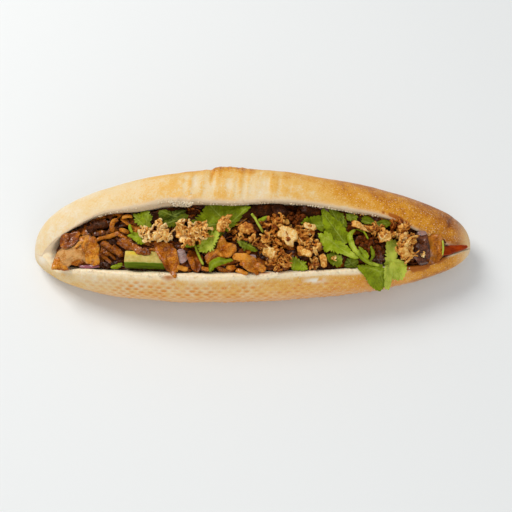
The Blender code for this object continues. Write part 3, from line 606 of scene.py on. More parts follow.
def make_bread():
    """The roll with its crust, torn crumb, browning and stains."""
    step = np.linspace(-1, 1, 404)
    step = np.sign(step) * (1 - (1 - np.abs(step)) ** 1.22)  # closer together towards the tips
    xs = step * (RIGHT_TIP - LEFT_TIP) / 2 + (RIGHT_TIP + LEFT_TIP) / 2
    ts = np.concatenate([start + (stop - start) * (np.arange(count) / count) for start, stop, count in SPANS])
    grid = roll_grid(xs, ts)
    normal = normals_of(grid)
    middle = grid.mean(axis=1, keepdims=True)
    if ((grid - middle) * normal)[len(xs) // 2, :40].sum() < 0:
        normal = -normal
    x, t = grid[..., 0], np.broadcast_to(ts, grid.shape[:2])
    rim = np.where(t > 11, t - len(OPEN), t)  # places counted from the near lip, both ways
    size = fullness(xs)[0][:, None]
    arc = np.cumsum(np.linalg.norm(grid - np.roll(grid, 1, axis=1), axis=-1), axis=1)
    arc = arc - arc[:, :1]
    ragged = noise(grid, 0.005, 5, 3)
    crumb = np.where(t > 20, 1, ease(t - FAR_LIP - 0.12 * ragged, -0.05, 0.25))
    crumb = np.maximum(crumb, np.where(t < 2, 1 - ease(rim - 0.10 * ragged, -0.20, 0.27), 0))
    crumb = crumb * ease(x, CUT_START - 0.004, CUT_START + 0.002)
    dot, marks = pan_dots(grid, x, arc), top_marks(x, t)
    points = grid + normal * crust_relief(grid, x, t, size, crumb, dot, marks)[..., None]
    points[..., 2] = np.maximum(points[..., 2], 0)
    low, high = np.array(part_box("bread_roll"))
    points = np.clip(points, low - (0.0, 0.0006, 0.0), high + (0.0, 0.0006, 0.0009))
    # A whitish patch near x = 38 mm just under the near lip is a painted highlight; the one at the left end is
    # whitish crumb.
    scuff = stamp(x, 0.038, 0.006, t, 0.42, 0.22) * ease(noise(grid, 0.003, 61, 2), -0.4, 0.3)
    scuff = np.maximum(scuff, 0.85 * stamp(x, -0.1325, 0.0035, t, 0.2, 0.8))
    # pale: on the far lip's wall it darkens the crumb to beige, a painted shade; elsewhere it gives a paler,
    # pinkish crust on the lower near half and towards the right tip.
    pale = np.where(t > 12.6, ease(t, 12.75, 13.2) * (1 - ease(t, 16, 18)),
                    (1 - ease(t, 7.5, 10)) * ease(arc, 0.008, 0.022))
    pale = np.clip(pale * (1 + 0.5 * ease(x, 0.075, 0.100)) + 0.7 * ease(x, 0.124, 0.137), 0, 1.5)
    soup = Soup()
    rows, columns = grid.shape[:2]
    caps = [end_cap(columns, 0), end_cap(columns, rows - 1)[:, ::-1]]
    soup.add(points, [grid_faces(rows, columns)[:, ::-1], *caps], toast=browning(grid, x, t, marks),
             crumb=crumb, nub=dot, scuff=scuff, pale=pale, stain=stains(grid, x, t, rim))
    add_torn_crumb(soup)
    return soup.make("roll_crust_and_crumb", "bread", ["bread_roll"])


def add_torn_crumb(soup):
    """Small crumbs that cling to the torn edges of the cut, and a tuft of them hanging from the far lip."""
    torn = np.random.default_rng(5)
    for start, stop, t, spread, count, small, large in (
            (-0.112, 0.098, 21.75, 0.25, 130, 0.4, 1.0), (-0.095, 0.078, 13.75, 0.30, 190, 0.5, 1.2),
            (-0.060, -0.030, 13.3, 0.25, 34, 0.6, 1.3), (0.0085, 0.0160, 21.5, 0.30, 16, 1.2, 2.2),
            (-0.0575, -0.0545, 21.5, 0.30, 6, 1.0, 1.8), (0.034, 0.052, 13.8, 0.30, 20, 0.8, 1.5)):
        for _ in range(count):
            x, t_here = torn.uniform(start, stop), t + torn.normal(0, spread)
            place = roll_grid(np.array([x]), np.array([t_here % len(OPEN)]))[0, 0]
            across = torn.uniform(small, large) * MM
            place = place - np.array([0, 1.4 * MM * (12 < t < 14), 0])
            lump(soup, place, across, int(torn.integers(1, 9999)), 0.5, 5, 7,
                 toast=0, crumb=1, nub=0, scuff=0.1, stain=0, pale=0.45)
    for _ in range(170):
        fall = torn.uniform(0, 1) ** 1.5
        side = torn.uniform(-1, 1) * (1 - 0.75 * fall)
        place = roll_grid(np.array([-0.0432 + 0.0078 * side]), np.array([13.15]))[0, 0]
        place = place + np.array([0, -2.4 - 1.4 * math.sin(math.pi * fall), 0.4 - 4.6 * fall]) * MM
        lump(soup, place, torn.uniform(0.5, 1.5) * MM, int(torn.integers(1, 9999)), 0.8, 4, 6,
             toast=0, crumb=1, nub=0, scuff=0.2, stain=0, pale=0.3)


def end_cap(columns, row):
    """Closes an end ring by zipping its two sides together."""
    ring = row * columns + np.arange(columns)
    return np.array([(ring[i], ring[i + 1], ring[columns - 2 - i], ring[columns - 1 - i])
                     for i in range(columns // 2 - 1)])


roll = make_bread()

# ---- Laying pieces in the roll ---------------------------------------------------------------------------
RISE = math.radians(60.0)  # the main view's height above the horizon
VIEW_UP = np.array([0, math.sin(RISE), math.cos(RISE)])
VIEW_BACK = np.array([0, -math.cos(RISE), math.sin(RISE)])
VIEW_AIM = np.array([0.0023, -0.0169, 0.030])
VIEW_DISTANCE = 0.716
VIEW_SLANT = 0.9455  # how much of w the main view shows
VIEW_SCALE = 0.965 * MM  # metres along the roll for a mm of the main view, at the height of the heap
LEAF_THICK = 0.32 * MM


class Ground:
    """The highest h above each (x, w) of all that has been laid so far."""

    CELL = 0.0006
    LIP_CELLS = 16  # the near lip counts as ground as far as this many cells into the filling
    LEFT_END = -0.112  # left of this the bread counts everywhere
    FAR_RISE = 0.0035  # how much higher the heap stands towards the far lip

    def __init__(self):
        bed = tree_of(["meat_bed", "carrot_strip"])
        bread = BVHTree.FromObject(roll, bpy.context.evaluated_depsgraph_get())
        self.xs = np.arange(LEFT_TIP - 0.002, RIGHT_TIP + 0.002, self.CELL)
        self.ws = np.arange(-0.052, 0.050, self.CELL)
        self.tops = np.full((len(self.xs), len(self.ws)), -0.02)
        down = Vector(-UP_H)
        for i, x in enumerate(self.xs):
            filled = []
            for j, w in enumerate(self.ws):
                start = Vector((x, w * UP_W[1] + 0.1 * UP_H[1], w * UP_W[2] + 0.1 * UP_H[2]))
                hits = [bed.ray_cast(start, down)[0]]
                if hits[0]:
                    filled.append(j)
                if len(filled) < self.LIP_CELLS or x < self.LEFT_END:
                    hits.append(bread.ray_cast(start, down)[0])
                heights = [hit.dot(Vector(UP_H)) for hit in hits if hit]
                if heights:
                    self.tops[i, j] = max(heights)
            if filled:
                self.tops[i, filled[-1] + 1:] = self.tops[i, filled[-1]] + 0.001
        size = fullness(self.xs)[0][:, None]
        far = ease(self.ws[None] / size, 0.004, 0.022) * (1 - ease(self.xs, 0.09, 0.115))[:, None]
        self.tops = self.tops + far * size * self.FAR_RISE

    def index(self, x, w):
        i = np.clip(((x - self.xs[0]) / self.CELL).round().astype(int), 0, len(self.xs) - 1)
        j = np.clip(((w - self.ws[0]) / self.CELL).round().astype(int), 0, len(self.ws) - 1)
        return i, j

    def at(self, x, w):
        return self.tops[self.index(x, w)]

    def add(self, x, w, h):
        x, w, h = (np.ravel(value) for value in np.broadcast_arrays(x, w, h))
        i, j = self.index(x, w)
        for di, dj in ((0, 0), (1, 0), (0, 1), (1, 1)):
            cell = np.minimum(i + di, len(self.xs) - 1), np.minimum(j + dj, len(self.ws) - 1)
            np.maximum.at(self.tops, cell, h)


ground = Ground()
rng = np.random.default_rng(11)


@contextmanager
def pile(room):
    """Keeps loose pieces within room mm of what they lie on; what it gives is called between two of them."""
    base, tops = ground.tops.copy(), ground.tops.copy()

    def press():
        tops[:] = np.maximum(tops, ground.tops)
        ground.tops = np.minimum(ground.tops, base + room * MM)

    yield press
    ground.tops = np.maximum(tops, ground.tops)


def from_view(across, up):
    """(x, w) on top of the heap of points seen from the front, in mm from the middle of the main view."""
    across, up = np.asarray(across, float) * MM, np.asarray(up, float) * MM
    eye = VIEW_AIM + VIEW_BACK * VIEW_DISTANCE
    ray = VIEW_AIM + across[..., None] * np.array([1.0, 0, 0]) + up[..., None] * VIEW_UP - eye
    h = np.full(across.shape, 0.036)  # a first guess that the rounds below correct
    for _ in range(6):
        hit = eye + ray * ((h - eye @ UP_H) / (ray @ UP_H))[..., None]
        x, w = hit[..., 0], hit @ UP_W
        h = 0.5 * h + 0.5 * np.maximum(ground.at(x, w), 0.01)
    return x, w


def spot_at(across, up):
    """(x, w) on top of the heap of one point."""
    x, w = from_view(np.array([across]), np.array([up]))
    return x[0], w[0]


def reach_of(outline, theta):
    """Distance from the middle to the edge of a closed outline of (across, up) points, in each direction."""
    a = points_of(outline)
    side = np.roll(a, -1, axis=0) - a
    ray = stack(np.cos(theta), np.sin(theta))[:, None]
    cross = ray[..., 0] * side[:, 1] - ray[..., 1] * side[:, 0]
    cross = np.where(np.abs(cross) < 1e-9, 1e-9, cross)
    far = (a[:, 0] * side[:, 1] - a[:, 1] * side[:, 0]) / cross
    part = (a[:, 0] * ray[..., 1] - a[:, 1] * ray[..., 0]) / cross
    hit = (part >= -1e-6) & (part <= 1 + 1e-6) & (far > 0)
    reach = np.where(hit, far, 0).max(axis=1)
    for _ in range(2):
        reach = (np.roll(reach, 1) + 2 * reach + np.roll(reach, -1)) / 4
    return np.maximum(reach, 0.4)


def smoothed(h):
    """One round of averaging of a disc's heights; its rows are rings and its first row is the middle."""
    before, after = np.vstack([h[:1], h[:-1]]), np.vstack([h[1:], h[-1:]])
    mean = (np.roll(h, 1, axis=1) + np.roll(h, -1, axis=1) + before + after) / 4
    mean[0] = mean[:2].mean()
    return mean


def drape(x, w, droop, stiffness):
    """Heights of a disc that lies on the heap."""
    rest = ground.at(x, w)
    rest = np.maximum(rest, np.median(rest) - droop)
    h = rest.copy()
    for _ in range(stiffness):
        h = np.maximum(smoothed(h), rest)
    for _ in range(3):
        h = smoothed(h)
    return np.maximum(h, rest)


def patch(middle, outline, step, edge):
    """A disc over an outline seen from the front: x, w, places in mm from its middle, shares of the way out.

    edge(ring, reach) changes the reach in mm; ring has the places of the outline itself."""
    theta = np.linspace(0, 2 * math.pi, 720, endpoint=False)
    reach = reach_of(outline, theta)
    rim = np.hypot(*np.diff(np.stack([reach * np.cos(theta), reach * np.sin(theta)]), axis=1)).sum()
    spokes = int(np.clip(rim / step, 30, 260))
    theta = np.arange(spokes) * 2 * math.pi / spokes
    reach = reach_of(outline, theta)
    reach = edge(stack(reach * np.cos(theta), reach * np.sin(theta)), reach)
    rings = int(np.clip(np.median(reach) / step, 5, 22))
    share = ((np.arange(rings + 1) / rings) ** 0.85)[:, None]
    u, v = share * (reach * np.cos(theta))[None], share * (reach * np.sin(theta))[None]
    x, w = spot_at(*middle)
    return x + u * VIEW_SCALE, w + v * VIEW_SCALE / VIEW_SLANT, u, v, np.broadcast_to(share, u.shape)


def add_disc(soup, x, w, top, bottom, **values):
    """Adds a closed disc whose top and underside share their last ring."""
    rings, spokes = x.shape
    over = world(x[1:], w[1:], top[1:]).reshape(-1, 3)
    over[-spokes:] = world(x[-1], w[-1], (top[-1] + bottom[-1]) / 2)
    under = world(x[1:-1], w[1:-1], bottom[1:-1]).reshape(-1, 3)
    middles = [world(x[0, :1], w[0, :1], face[0, :1]) for face in (top, bottom)]
    count_over, count = len(over), len(over) + len(under)
    k = np.arange(spokes)
    n = (k + 1) % spokes
    last_under, rim = count - spokes, count_over - spokes
    for key, value in values.items():
        value = np.broadcast_to(value, x.shape)
        values[key] = np.concatenate([value[1:].ravel(), value[1:-1].ravel(), value[0, :1], value[0, :1]])
    soup.add(np.vstack([over, under, *middles]),
             [grid_faces(rings - 1, spokes)[:, ::-1], grid_faces(rings - 2, spokes, start=count_over),
              stack(last_under + k, rim + k, rim + n, last_under + n),
              fan(count, k), fan(count + 1, count_over + k, flip=True)], **values)
    ground.add(x, w, top)


def box_outline(length, width, turn, seed):
    """A rough four-sided outline in mm."""
    made = []
    c, s = cos_sin(turn)
    for k, (a, b) in enumerate(points_of("-1,-1 -0.1,-1.05 1,-1 1.06,0.1 1,1 0,1.04 -1,1 -1.05,0")):
        place = np.array([[k * 3.7, seed * 1.3, 0.0]])
        a = (a + 0.12 * noise(place, 1.0, seed)[0]) * length / 2
        b = (b + 0.12 * noise(place, 1.0, seed + 9)[0]) * width / 2
        made.append((a * c - b * s, a * s + b * c))
    return made


def lay_meat(soup, middle, outline, thick, seed, tone, grain=0.0, droop=0.003, stiffness=26, ragged=0.5,
             wave=0.7, shine=0.0, step=0.62, relief=1.0):
    """Lays one slice of meat; thick, ragged and wave are in mm and grain is the way its fibres run."""
    def edge(ring, reach):
        ring = np.column_stack([ring, np.full(len(ring), seed)])
        return reach + ragged * (0.9 * noise(ring, 3.2, seed) + 0.7 * noise(ring, 1.1, seed + 1, 2))

    x, w, _, _, share = patch(middle, outline, step, edge)
    place = stack(x, w)
    c, s = cos_sin(grain)
    fibre = noise(stack((x * c + w * s) * 0.15, -x * s + w * c, 0 * x + seed * 0.01), 0.0012, seed, 3)
    crag = noise(place, 0.0026, seed + 5, 3)
    h = drape(x, w, droop, stiffness) + wave * noise(place, 0.008, seed, 2) * MM
    full = (1 - share**6) ** 0.5
    thick = thick * MM
    top = h + thick * (0.5 + 0.5 * full) + relief * (0.20 * fibre + 0.30 * crag) * MM * (0.3 + 0.7 * full)
    # Darker in the crevices of the relief, a painted shade, and at the crisped rim.
    deep = relief * np.clip(-0.5 * fibre - 0.35 * crag, 0, 1) + 0.30 * ease(share, 0.90, 1.0)
    add_disc(soup, x, w, top, h + thick * (0.5 - 0.5 * full), deep=np.clip(deep, 0, 1),
             tone=tone + 0.12 * noise(place, 0.006, seed + 8),
             shine=np.clip(shine + 0.3 * noise(place, 0.004, seed + 12), 0, 1))


def veins_of(outline, base, u, v):
    """How strong the veins from a leaf's base to its tips, and their branches, are at (u, v) in mm."""
    rim = reach_of(outline, np.linspace(0, 2 * math.pi, 360, endpoint=False))
    vein = np.zeros(u.shape)
    for k in range(360):
        if rim[k] < max(np.take(rim, range(k - 14, k + 15), mode="wrap")) - 1e-9:
            continue  # not a tip
        run = np.array(cos_sin(k)) * rim[k] * 0.94 - np.array(base)
        length = max(np.hypot(*run), 1e-6)
        part = ((u - base[0]) * run[0] + (v - base[1]) * run[1]) / length**2
        away = np.abs((u - base[0]) * run[1] - (v - base[1]) * run[0]) / length
        inside = ease(part, -0.02, 0.03) * (1 - ease(part, 0.92, 1.0))
        vein = np.maximum(vein, inside * np.exp(-((away / (0.34 - 0.18 * np.clip(part, 0, 1))) ** 2)))
        branch = np.abs(np.sin((part * length * 0.42 - away * 0.36) * math.pi)) ** 14
        vein = np.maximum(vein, 0.40 * branch * inside * (1 - ease(away, 1.5, 3.5)))
    return vein


def lay_leaf(soup, middle, outline, seed, tone, teeth=0.9, pitch=2.3, droop=0.004, stiffness=50, lift=0.0,
             wave=0.9, base=(0.0, 0.0)):
    """Lays one cilantro leaf with toothed edges; sizes are in mm."""
    def edge(ring, reach):
        along = np.cumsum(np.linalg.norm(ring - np.roll(ring, 1, axis=0), axis=1))
        count = max(6, round(along[-1] / pitch))
        phase = along / along[-1] * count + 0.35 * noise(ring, 4.0, seed, 2)
        tooth = 1 - np.abs(np.sin(phase * math.pi)) ** 0.9
        depth = 1.9 * teeth * (0.8 + 0.5 * noise(ring, 3.0, seed + 1))
        return np.maximum(reach - depth * tooth + 0.25 * noise(ring, 1.2, seed + 2), 0.4)

    x, w, u, v, share = patch(middle, outline, 0.52, edge)
    place = stack(x, w)
    vein = veins_of(outline, base, u, v)
    h = drape(x, w, droop, stiffness) + (0.25 + lift) * MM + wave * noise(place, 0.0055, seed, 2) * MM
    h = h - 0.22 * vein * MM
    add_disc(soup, x, w, h + LEAF_THICK, h, tone=tone + 0.10 * noise(place, 0.009, seed + 6), vein=vein)


def curve_through(points, count):
    """Smooth curve of count points through a few points."""
    at = np.linspace(0, len(points) - 1, count)
    k = np.clip(np.floor(at).astype(int), 0, len(points) - 2)
    four = (points[np.clip(k + step, 0, len(points) - 1)] for step in (-1, 0, 1, 2))
    return between(*four, (at - k)[:, None])


def ring_of(sides, roundness):
    """Places round a cross-section of half width and half height 1; 2 is round and more is boxier."""
    turn = (np.arange(sides) + 0.5) * 2 * math.pi / sides
    c, s = np.cos(turn), np.sin(turn)
    reach = (np.abs(c) ** roundness + np.abs(s) ** roundness) ** (-1 / roundness)
    return c * reach, s * reach


def eased_line(h):
    """One round of averaging of heights along a strip."""
    return np.convolve(np.pad(h, 1, mode="edge"), [0.25, 0.5, 0.25], "valid")


def lay_ribbon(soup, path, width, thick, seed, droop=3.0, stiffness=8, ragged=0.15, bank=0.0, roundness=4.0,
               crag=0.25, sides=14, teeth=0.0, on_ground=True, blunt=14, **values):
    """Lays a strip along (across, up, lift) points seen from the front; width, thick and lift are in mm."""
    path = points_of(path)
    path = np.pad(path, ((0, 0), (0, 3 - path.shape[1])))
    length = np.linalg.norm(np.diff(path[:, :2], axis=0), axis=1).sum()
    rows = int(np.clip(length / 0.55, 10, 110))
    line = curve_through(path, rows)
    x, w = from_view(line[:, 0], line[:, 1])
    for _ in range(2):
        w[1:-1] = (w[:-2] + 2 * w[1:-1] + w[2:]) / 4
    run = stack(np.gradient(x), np.gradient(w))
    run /= np.maximum(np.linalg.norm(run, axis=1, keepdims=True), 1e-9)
    at = np.linspace(0, 1, rows)
    place = stack(at * length, 0 * at + seed * 3.1)
    half = np.interp(at, np.linspace(0, 1, len(np.atleast_1d(width))), np.atleast_1d(width)) / 2
    half = half * (1 + ragged * (noise(place, 4.0, seed) + 0.6 * noise(place, 1.3, seed + 1, 2)))
    if teeth:
        half = half - teeth * (1 - np.abs(np.sin(at * length / 2.4 * math.pi)) ** 0.8)
    taper = (1 - np.abs(2 * at - 1) ** blunt) ** 0.5
    half = np.maximum(half * taper, 0.03) * MM
    a, b = ring_of(sides, roundness)
    gx = x[:, None] - run[:, 1:] * half[:, None] * a
    gw = w[:, None] + run[:, :1] * half[:, None] * a
    rest = ground.at(gx, gw) if on_ground else ground.at(x, w)[:, None] + 0 * gx
    rest = np.maximum(rest, np.median(rest) - droop * MM)
    h = rest.max(axis=1)
    for _ in range(stiffness):
        h = np.maximum(eased_line(h), np.median(rest, axis=1))
    for _ in range(3):
        h = eased_line(h)
    body = thick * MM * taper * (1 + 0.25 * noise(place, 3.0, seed + 4))
    fibre = stack(at[:, None] * length * 0.14 + 0 * gx, a * half[:, None] / MM, 0 * gx + seed)
    fibre = noise(fibre, 1.1, seed + 6, 3)
    rough = noise(stack(gx, gw, 0 * gx + b * 0.002), 0.0021, seed + 7, 3)
    gh = h[:, None] + line[:, 2:] * MM + body[:, None] * (0.5 + 0.5 * b)
    gh = gh + bank * MM * a * (half / max(half.max(), 1e-9))[:, None]
    gh = gh + crag * MM * (0.6 * fibre + rough) * (b > -0.2) * taper[:, None]
    for key, value in values.items():
        # Darker in the grooves between the fibres: painted shade.
        if key == "deep":
            value = value + np.clip(-0.5 * fibre, 0, 1)
        if key == "vein":
            value = value * np.exp(-((a / 0.16) ** 2)) * (b > 0)
        value = np.clip(np.broadcast_to(value, gx.shape), 0, 1).ravel()
        values[key] = np.concatenate([value, value[:1], value[-1:]])
    soup.add_tube(world(gx, gw, gh).reshape(-1, 3), sides, turned=True, **values)
    ground.add(gx[:, b > 0], gw[:, b > 0], gh[:, b > 0])


def crisp(soup, middle, turn, radius, sweep, height, thick, seed, tone, rows=20, sides=14):
    """One crisp fried flake: a short craggy piece of a ring."""
    at = np.linspace(-0.5, 0.5, rows)
    place = stack(at * 5, 0 * at + seed)
    r = radius * (1 + 0.30 * noise(place, 1.4, seed))
    path = stack(r * np.cos(at * sweep) - radius * 0.8, r * np.sin(at * sweep),
                 height * 0.35 * noise(place, 1.1, seed + 1))
    along = np.gradient(path, axis=0)
    along /= np.linalg.norm(along, axis=1, keepdims=True)
    out = np.cross(along, np.array([0, 0, 1.0]))
    out /= np.linalg.norm(out, axis=1, keepdims=True)
    a, b = ring_of(sides, 3)
    taper = (1 - (np.abs(at) * 2) ** 6)[:, None] ** 0.5
    high = (0.5 * height * (1 + 0.45 * noise(place, 0.7, seed + 2, 2)))[:, None] * taper * b
    points = path[:, None] + out[:, None] * (0.5 * thick * taper * a)[..., None]
    points = points + np.array([0, 0, 1.0]) * high[..., None]
    crag = noise(points + seed * 0.01, 0.0018, seed, 3)
    radial = points - path[:, None]
    radial /= np.maximum(np.linalg.norm(radial, axis=-1, keepdims=True), 1e-6)
    points = (points + radial * (0.36 * MM * crag * taper)[..., None]).reshape(-1, 3) @ turn.T + middle
    # edge: the crag's hollows, darkened as painted shade, and the upper and lower rims, which are browner.
    edge = np.clip(-crag.ravel() + 0.35 * (np.abs(high) > 0.4 * height).ravel(), 0, 1)
    soup.add_tube(points, sides, tone=tone, edge=np.concatenate([edge, [0.6, 0.6]]))


def crisp_flake(soup, middle, outline, thick, seed, tone, lift=0.0):
    """A broad crisp flake with a pale rough face."""
    def edge(ring, reach):
        return reach + 1.1 * noise(np.column_stack([ring, np.full(len(ring), seed)]), 2.0, seed, 3)

    x, w, _, _, share = patch(middle, outline, 0.42, edge)
    place = stack(x, w)
    crag = noise(place, 0.0017, seed, 3)
    full = (1 - share**6) ** 0.5
    rest = ground.at(x, w)
    fit = stack(x.ravel(), w.ravel(), np.ones(x.size))
    slopes = np.clip(np.linalg.lstsq(fit, rest.ravel(), rcond=None)[0][:2], -0.35, 0.35)
    plane = slopes[0] * (x - x.mean()) + slopes[1] * (w - w.mean())
    h = plane + np.percentile(rest - plane, 75) + (lift + 0.8 * noise(place, 0.005, seed + 4)) * MM
    top = h + thick * MM * (0.5 + 0.5 * full) + 0.45 * MM * crag
    # edge marks the crag's hollows, darkened as painted shade.
    add_disc(soup, x, w, top, h + thick * MM * (0.5 - 0.5 * full), edge=np.clip(-0.8 * crag, 0, 1),
             tone=tone + 0.12 * noise(place, 0.004, seed + 6) - 0.45 * ease(share, 0.84, 1.0))


def spot(across, up, length, width, turn):
    """A random place in an oval patch seen from the front."""
    r, a = rng.uniform(0, 1) ** 0.55, rng.uniform(0, 2 * math.pi)
    u, v = r * math.cos(a) * length / 2, r * math.sin(a) * width / 2
    c, s = cos_sin(turn)
    return spot_at(across + u * c - v * s, up + u * s + v * c)


def strew_crisps(soup, across, up, length, width, turn, count, tone, size=1.18):
    """Piles crisp flakes and crumbs over an oval patch."""
    with pile(2.6) as press:
        for k in range(count):
            press()
            x, w = spot(across, up, length, width, turn)
            seed = int(rng.integers(1, 9999))
            near = np.linspace(-1, 1, 4) * 0.0014
            gx, gw = np.meshgrid(x + near, w + near)
            h = min(np.percentile(ground.at(gx, gw), 55), (soup.top - w * UP_W[2]) / UP_H[2])
            shade = float(np.clip(rng.normal(tone, 0.16), 0, 1))
            if k % 5 == 4:
                crumb_size = size * rng.uniform(0.0012, 0.0030)
                lump(soup, world(x, w, h + 0.25 * crumb_size), crumb_size, seed, tone=shade, edge=0)
                ground.add(gx, gw, h + 0.4 * crumb_size)
                continue
            height, thick = size * rng.uniform(1.8, 4.2) * MM, size * rng.uniform(0.55, 1.15) * MM
            crisp(soup, world(x, w, h + 0.35 * height), facing(rng, 0.75), size * rng.uniform(1.8, 4.0) * MM,
                  rng.uniform(0.9, 2.6), height, thick, seed, shade)
            ground.add(gx, gw, h + 0.45 * height)


def strew_mince(soup, across, up, length, width, turn, count, size, tone):
    """Piles dark crumbs of meat over an oval patch."""
    with pile(1.6) as press:
        for _ in range(count):
            press()
            x, w = spot(across, up, length, width, turn)
            h = float(ground.at(x, w))
            crumb_size = size * rng.uniform(0.6, 1.3) * MM
            seed, shade = int(rng.integers(1, 9999)), float(np.clip(rng.normal(tone, 0.15), 0, 1))
            lump(soup, world(x, w, h + 0.2 * crumb_size), crumb_size, seed, 0.45, 12, 16,
                 tone=shade, deep=0, shine=0.2)
            near = np.linspace(-0.3, 0.3, 3) * crumb_size
            gx, gw = np.meshgrid(x + near, w + near)
            ground.add(gx, gw, h + 0.45 * crumb_size)


@contextmanager
def piece(paint, node=None, name=None):
    """Collects what stands in for a CAD node, or for none and is named, and makes it when the block ends."""
    soup = Soup()
    if node:
        soup.top = min(soup.top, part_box(node)[1][2] + 0.001)
    yield soup
    soup.make(name or node + "_look", paint, [node] if node else ())


def make_bed():
    """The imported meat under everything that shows, as a rough wet surface."""
    mesh = frame["nodes"]["meat_bed"].data
    soup = Soup()
    faces = [np.array([p.vertices[:] for p in mesh.polygons if len(p.vertices) == n]) for n in (3, 4)]
    soup.add([v.co[:] for v in mesh.vertices], [f for f in faces if len(f)], tone=0.5, deep=0.0, shine=0.5)
    bed = soup.make("meat_heap", "dark", ["meat_bed"])
    finer = bed.modifiers.new("finer", "SUBSURF")
    finer.levels = finer.render_levels = 2
    finer.subdivision_type = "SIMPLE"
    fine = bpy.data.meshes.new_from_object(bed.evaluated_get(bpy.context.evaluated_depsgraph_get()))
    co = np.zeros(len(fine.vertices) * 3)
    fine.vertices.foreach_get("co", co)
    co = co.reshape(-1, 3)
    place = flat(co)
    top = ease(place[:, 2] - ground.at(place[:, 0], place[:, 1]), -0.006, -0.001)
    co += UP_H * (top * 0.0009 * noise(place * (0.5, 1, 1), 0.003, 3, 3))[:, None]
    fine.vertices.foreach_set("co", co.ravel())
    fine.shade_smooth()
    bed.modifiers.clear()
    bed.data = fine


def lips_at(across):
    """Heights in the main view, in mm, between which the heap shows at a place along the roll."""
    ring = roll_grid(np.array([across * VIEW_SCALE]), np.array([13.6, 21.3]))[0]
    seen = (ring - VIEW_AIM) @ VIEW_UP / MM
    return seen[1], seen[0]


def make_shreds():
    """Strips of sauced meat that cover the bed between the lips."""
    soups = {"dark": Soup(), "brown": Soup(), "gold": Soup()}
    with pile(2.0) as press:
        for k in range(330):
            across = rng.uniform(-117, 116)
            low, high = lips_at(across)
            up = rng.uniform(low + 1.2, high - 1.0)
            if -88 < across < -54 and up < 5:
                continue  # the cucumber lies here
            share = (up - low) / max(high - low, 1)
            c, s = cos_sin(rng.normal(-14 if across < -60 else 0, 42))
            length, width = rng.uniform(8, 22), rng.uniform(2.2, 5.8)
            bend = rng.normal(0, 0.16) * length
            path = []
            for step, off in ((-0.5, 0), (-0.17, 0.85), (0.17, 0.85), (0.5, 0)):
                u = float(np.clip(across + step * length * c - off * bend * s, -121.5, 119))
                bottom, top = lips_at(u)
                room = 2.2 if u > -108 else 5.6
                v = np.clip(up + step * length * s + off * bend * c,
                            bottom + 0.30 * width + 1.5, top - 0.30 * width - room)
                path.append((u, v, rng.uniform(0, 1.0)))
            chance = rng.uniform()
            golden = 0.10 + 0.35 * (1 - share) + (0.25 if across < -60 else 0)
            soup = soups["gold" if chance < 0.35 * golden else "brown" if chance < golden + 0.12 else "dark"]
            widths = (0.5 * width, width, 0.9 * width, 0.4 * width)
            lay_ribbon(soup, path, widths, rng.uniform(0.8, 1.6), k + 100, ragged=0.32, roundness=5.0,
                       crag=0.32, bank=rng.normal(0, 1.0), blunt=rng.uniform(3, 9),
                       tone=rng.uniform(0.1, 0.9), deep=0.0, shine=rng.uniform(0.1, 0.9))
            press()
    for paint, soup in soups.items():
        soup.make("meat_shreds_" + paint, paint)


def make_cucumber(length=0.0248, width=0.0088, height=0.0082, rows=64, sides=72):
    """A baton cut from the side of a cucumber, with its skin towards the near lip."""
    x, w = spot_at(-68.3, -3.3)
    t = np.linspace(-1, 1, rows)[:, None]
    a = np.arange(sides) * 2 * math.pi / sides
    reach = (np.abs(np.cos(a)) ** 7 + np.abs(np.sin(a)) ** 7) ** (-1 / 7)
    across, up = np.cos(a) * reach + 0 * t, np.sin(a) * reach + 0 * t
    along = np.broadcast_to(t, (rows, sides)) * 0.5 * length
    skin = ease(-across, 0.72, 0.92) * ease(0.86 - up, 0, 0.2)
    u = across * (1 - 0.08 * (up > 0) * up) * width / 2 - 0.0005 * ease(-across, 0.5, 1) * (1 - up**2)
    middle = np.median(ground.at(x + np.linspace(-0.01, 0.01, 9), w + np.zeros(9))) + 0.35 * height
    h = middle + up * height / 2
    dent = 0.0005 * ease(up, 0.5, 1) * bell(across, 0.35, 0.3)
    h = h + 0.00022 * noise(stack(along, u, h), 0.003, 4, 3) - dent
    trim = 0.93 + 0.07 * (1 - np.abs(t) ** 40) ** 0.5
    h, u = middle + (h - middle) * trim, u * trim
    c, s = cos_sin(-16)
    u, h = u * c - (h - middle) * s, middle + u * s + (h - middle) * c
    c, s = cos_sin(-2)
    gx, gw = x + along * c - u * s, w + along * s + u * c
    seed = bell(across, 0.50, 0.40) * ease(up, 0.6, 0.95) * bell(along, -0.007, 0.006)
    with piece("cucumber", "cucumber_baton") as soup:
        soup.add_tube(world(gx, gw, h).reshape(-1, 3), sides, skin=np.concatenate([skin.ravel(), [0, 0]]),
                      seed=np.concatenate([seed.ravel(), [0.1, 0.1]]))
    ground.add(gx, gw, h)


make_bed()
make_shreds()
with piece("carrot", "carrot_strip") as soup:
    lay_ribbon(soup, "112,2.6 118,3 124,3.6 130.5,4.2", (6.6, 5.6, 4, 1.4), 3, 3, droop=1, crag=0.08,
               roundness=5.0, sides=22, ragged=0.04, tone=0.5)

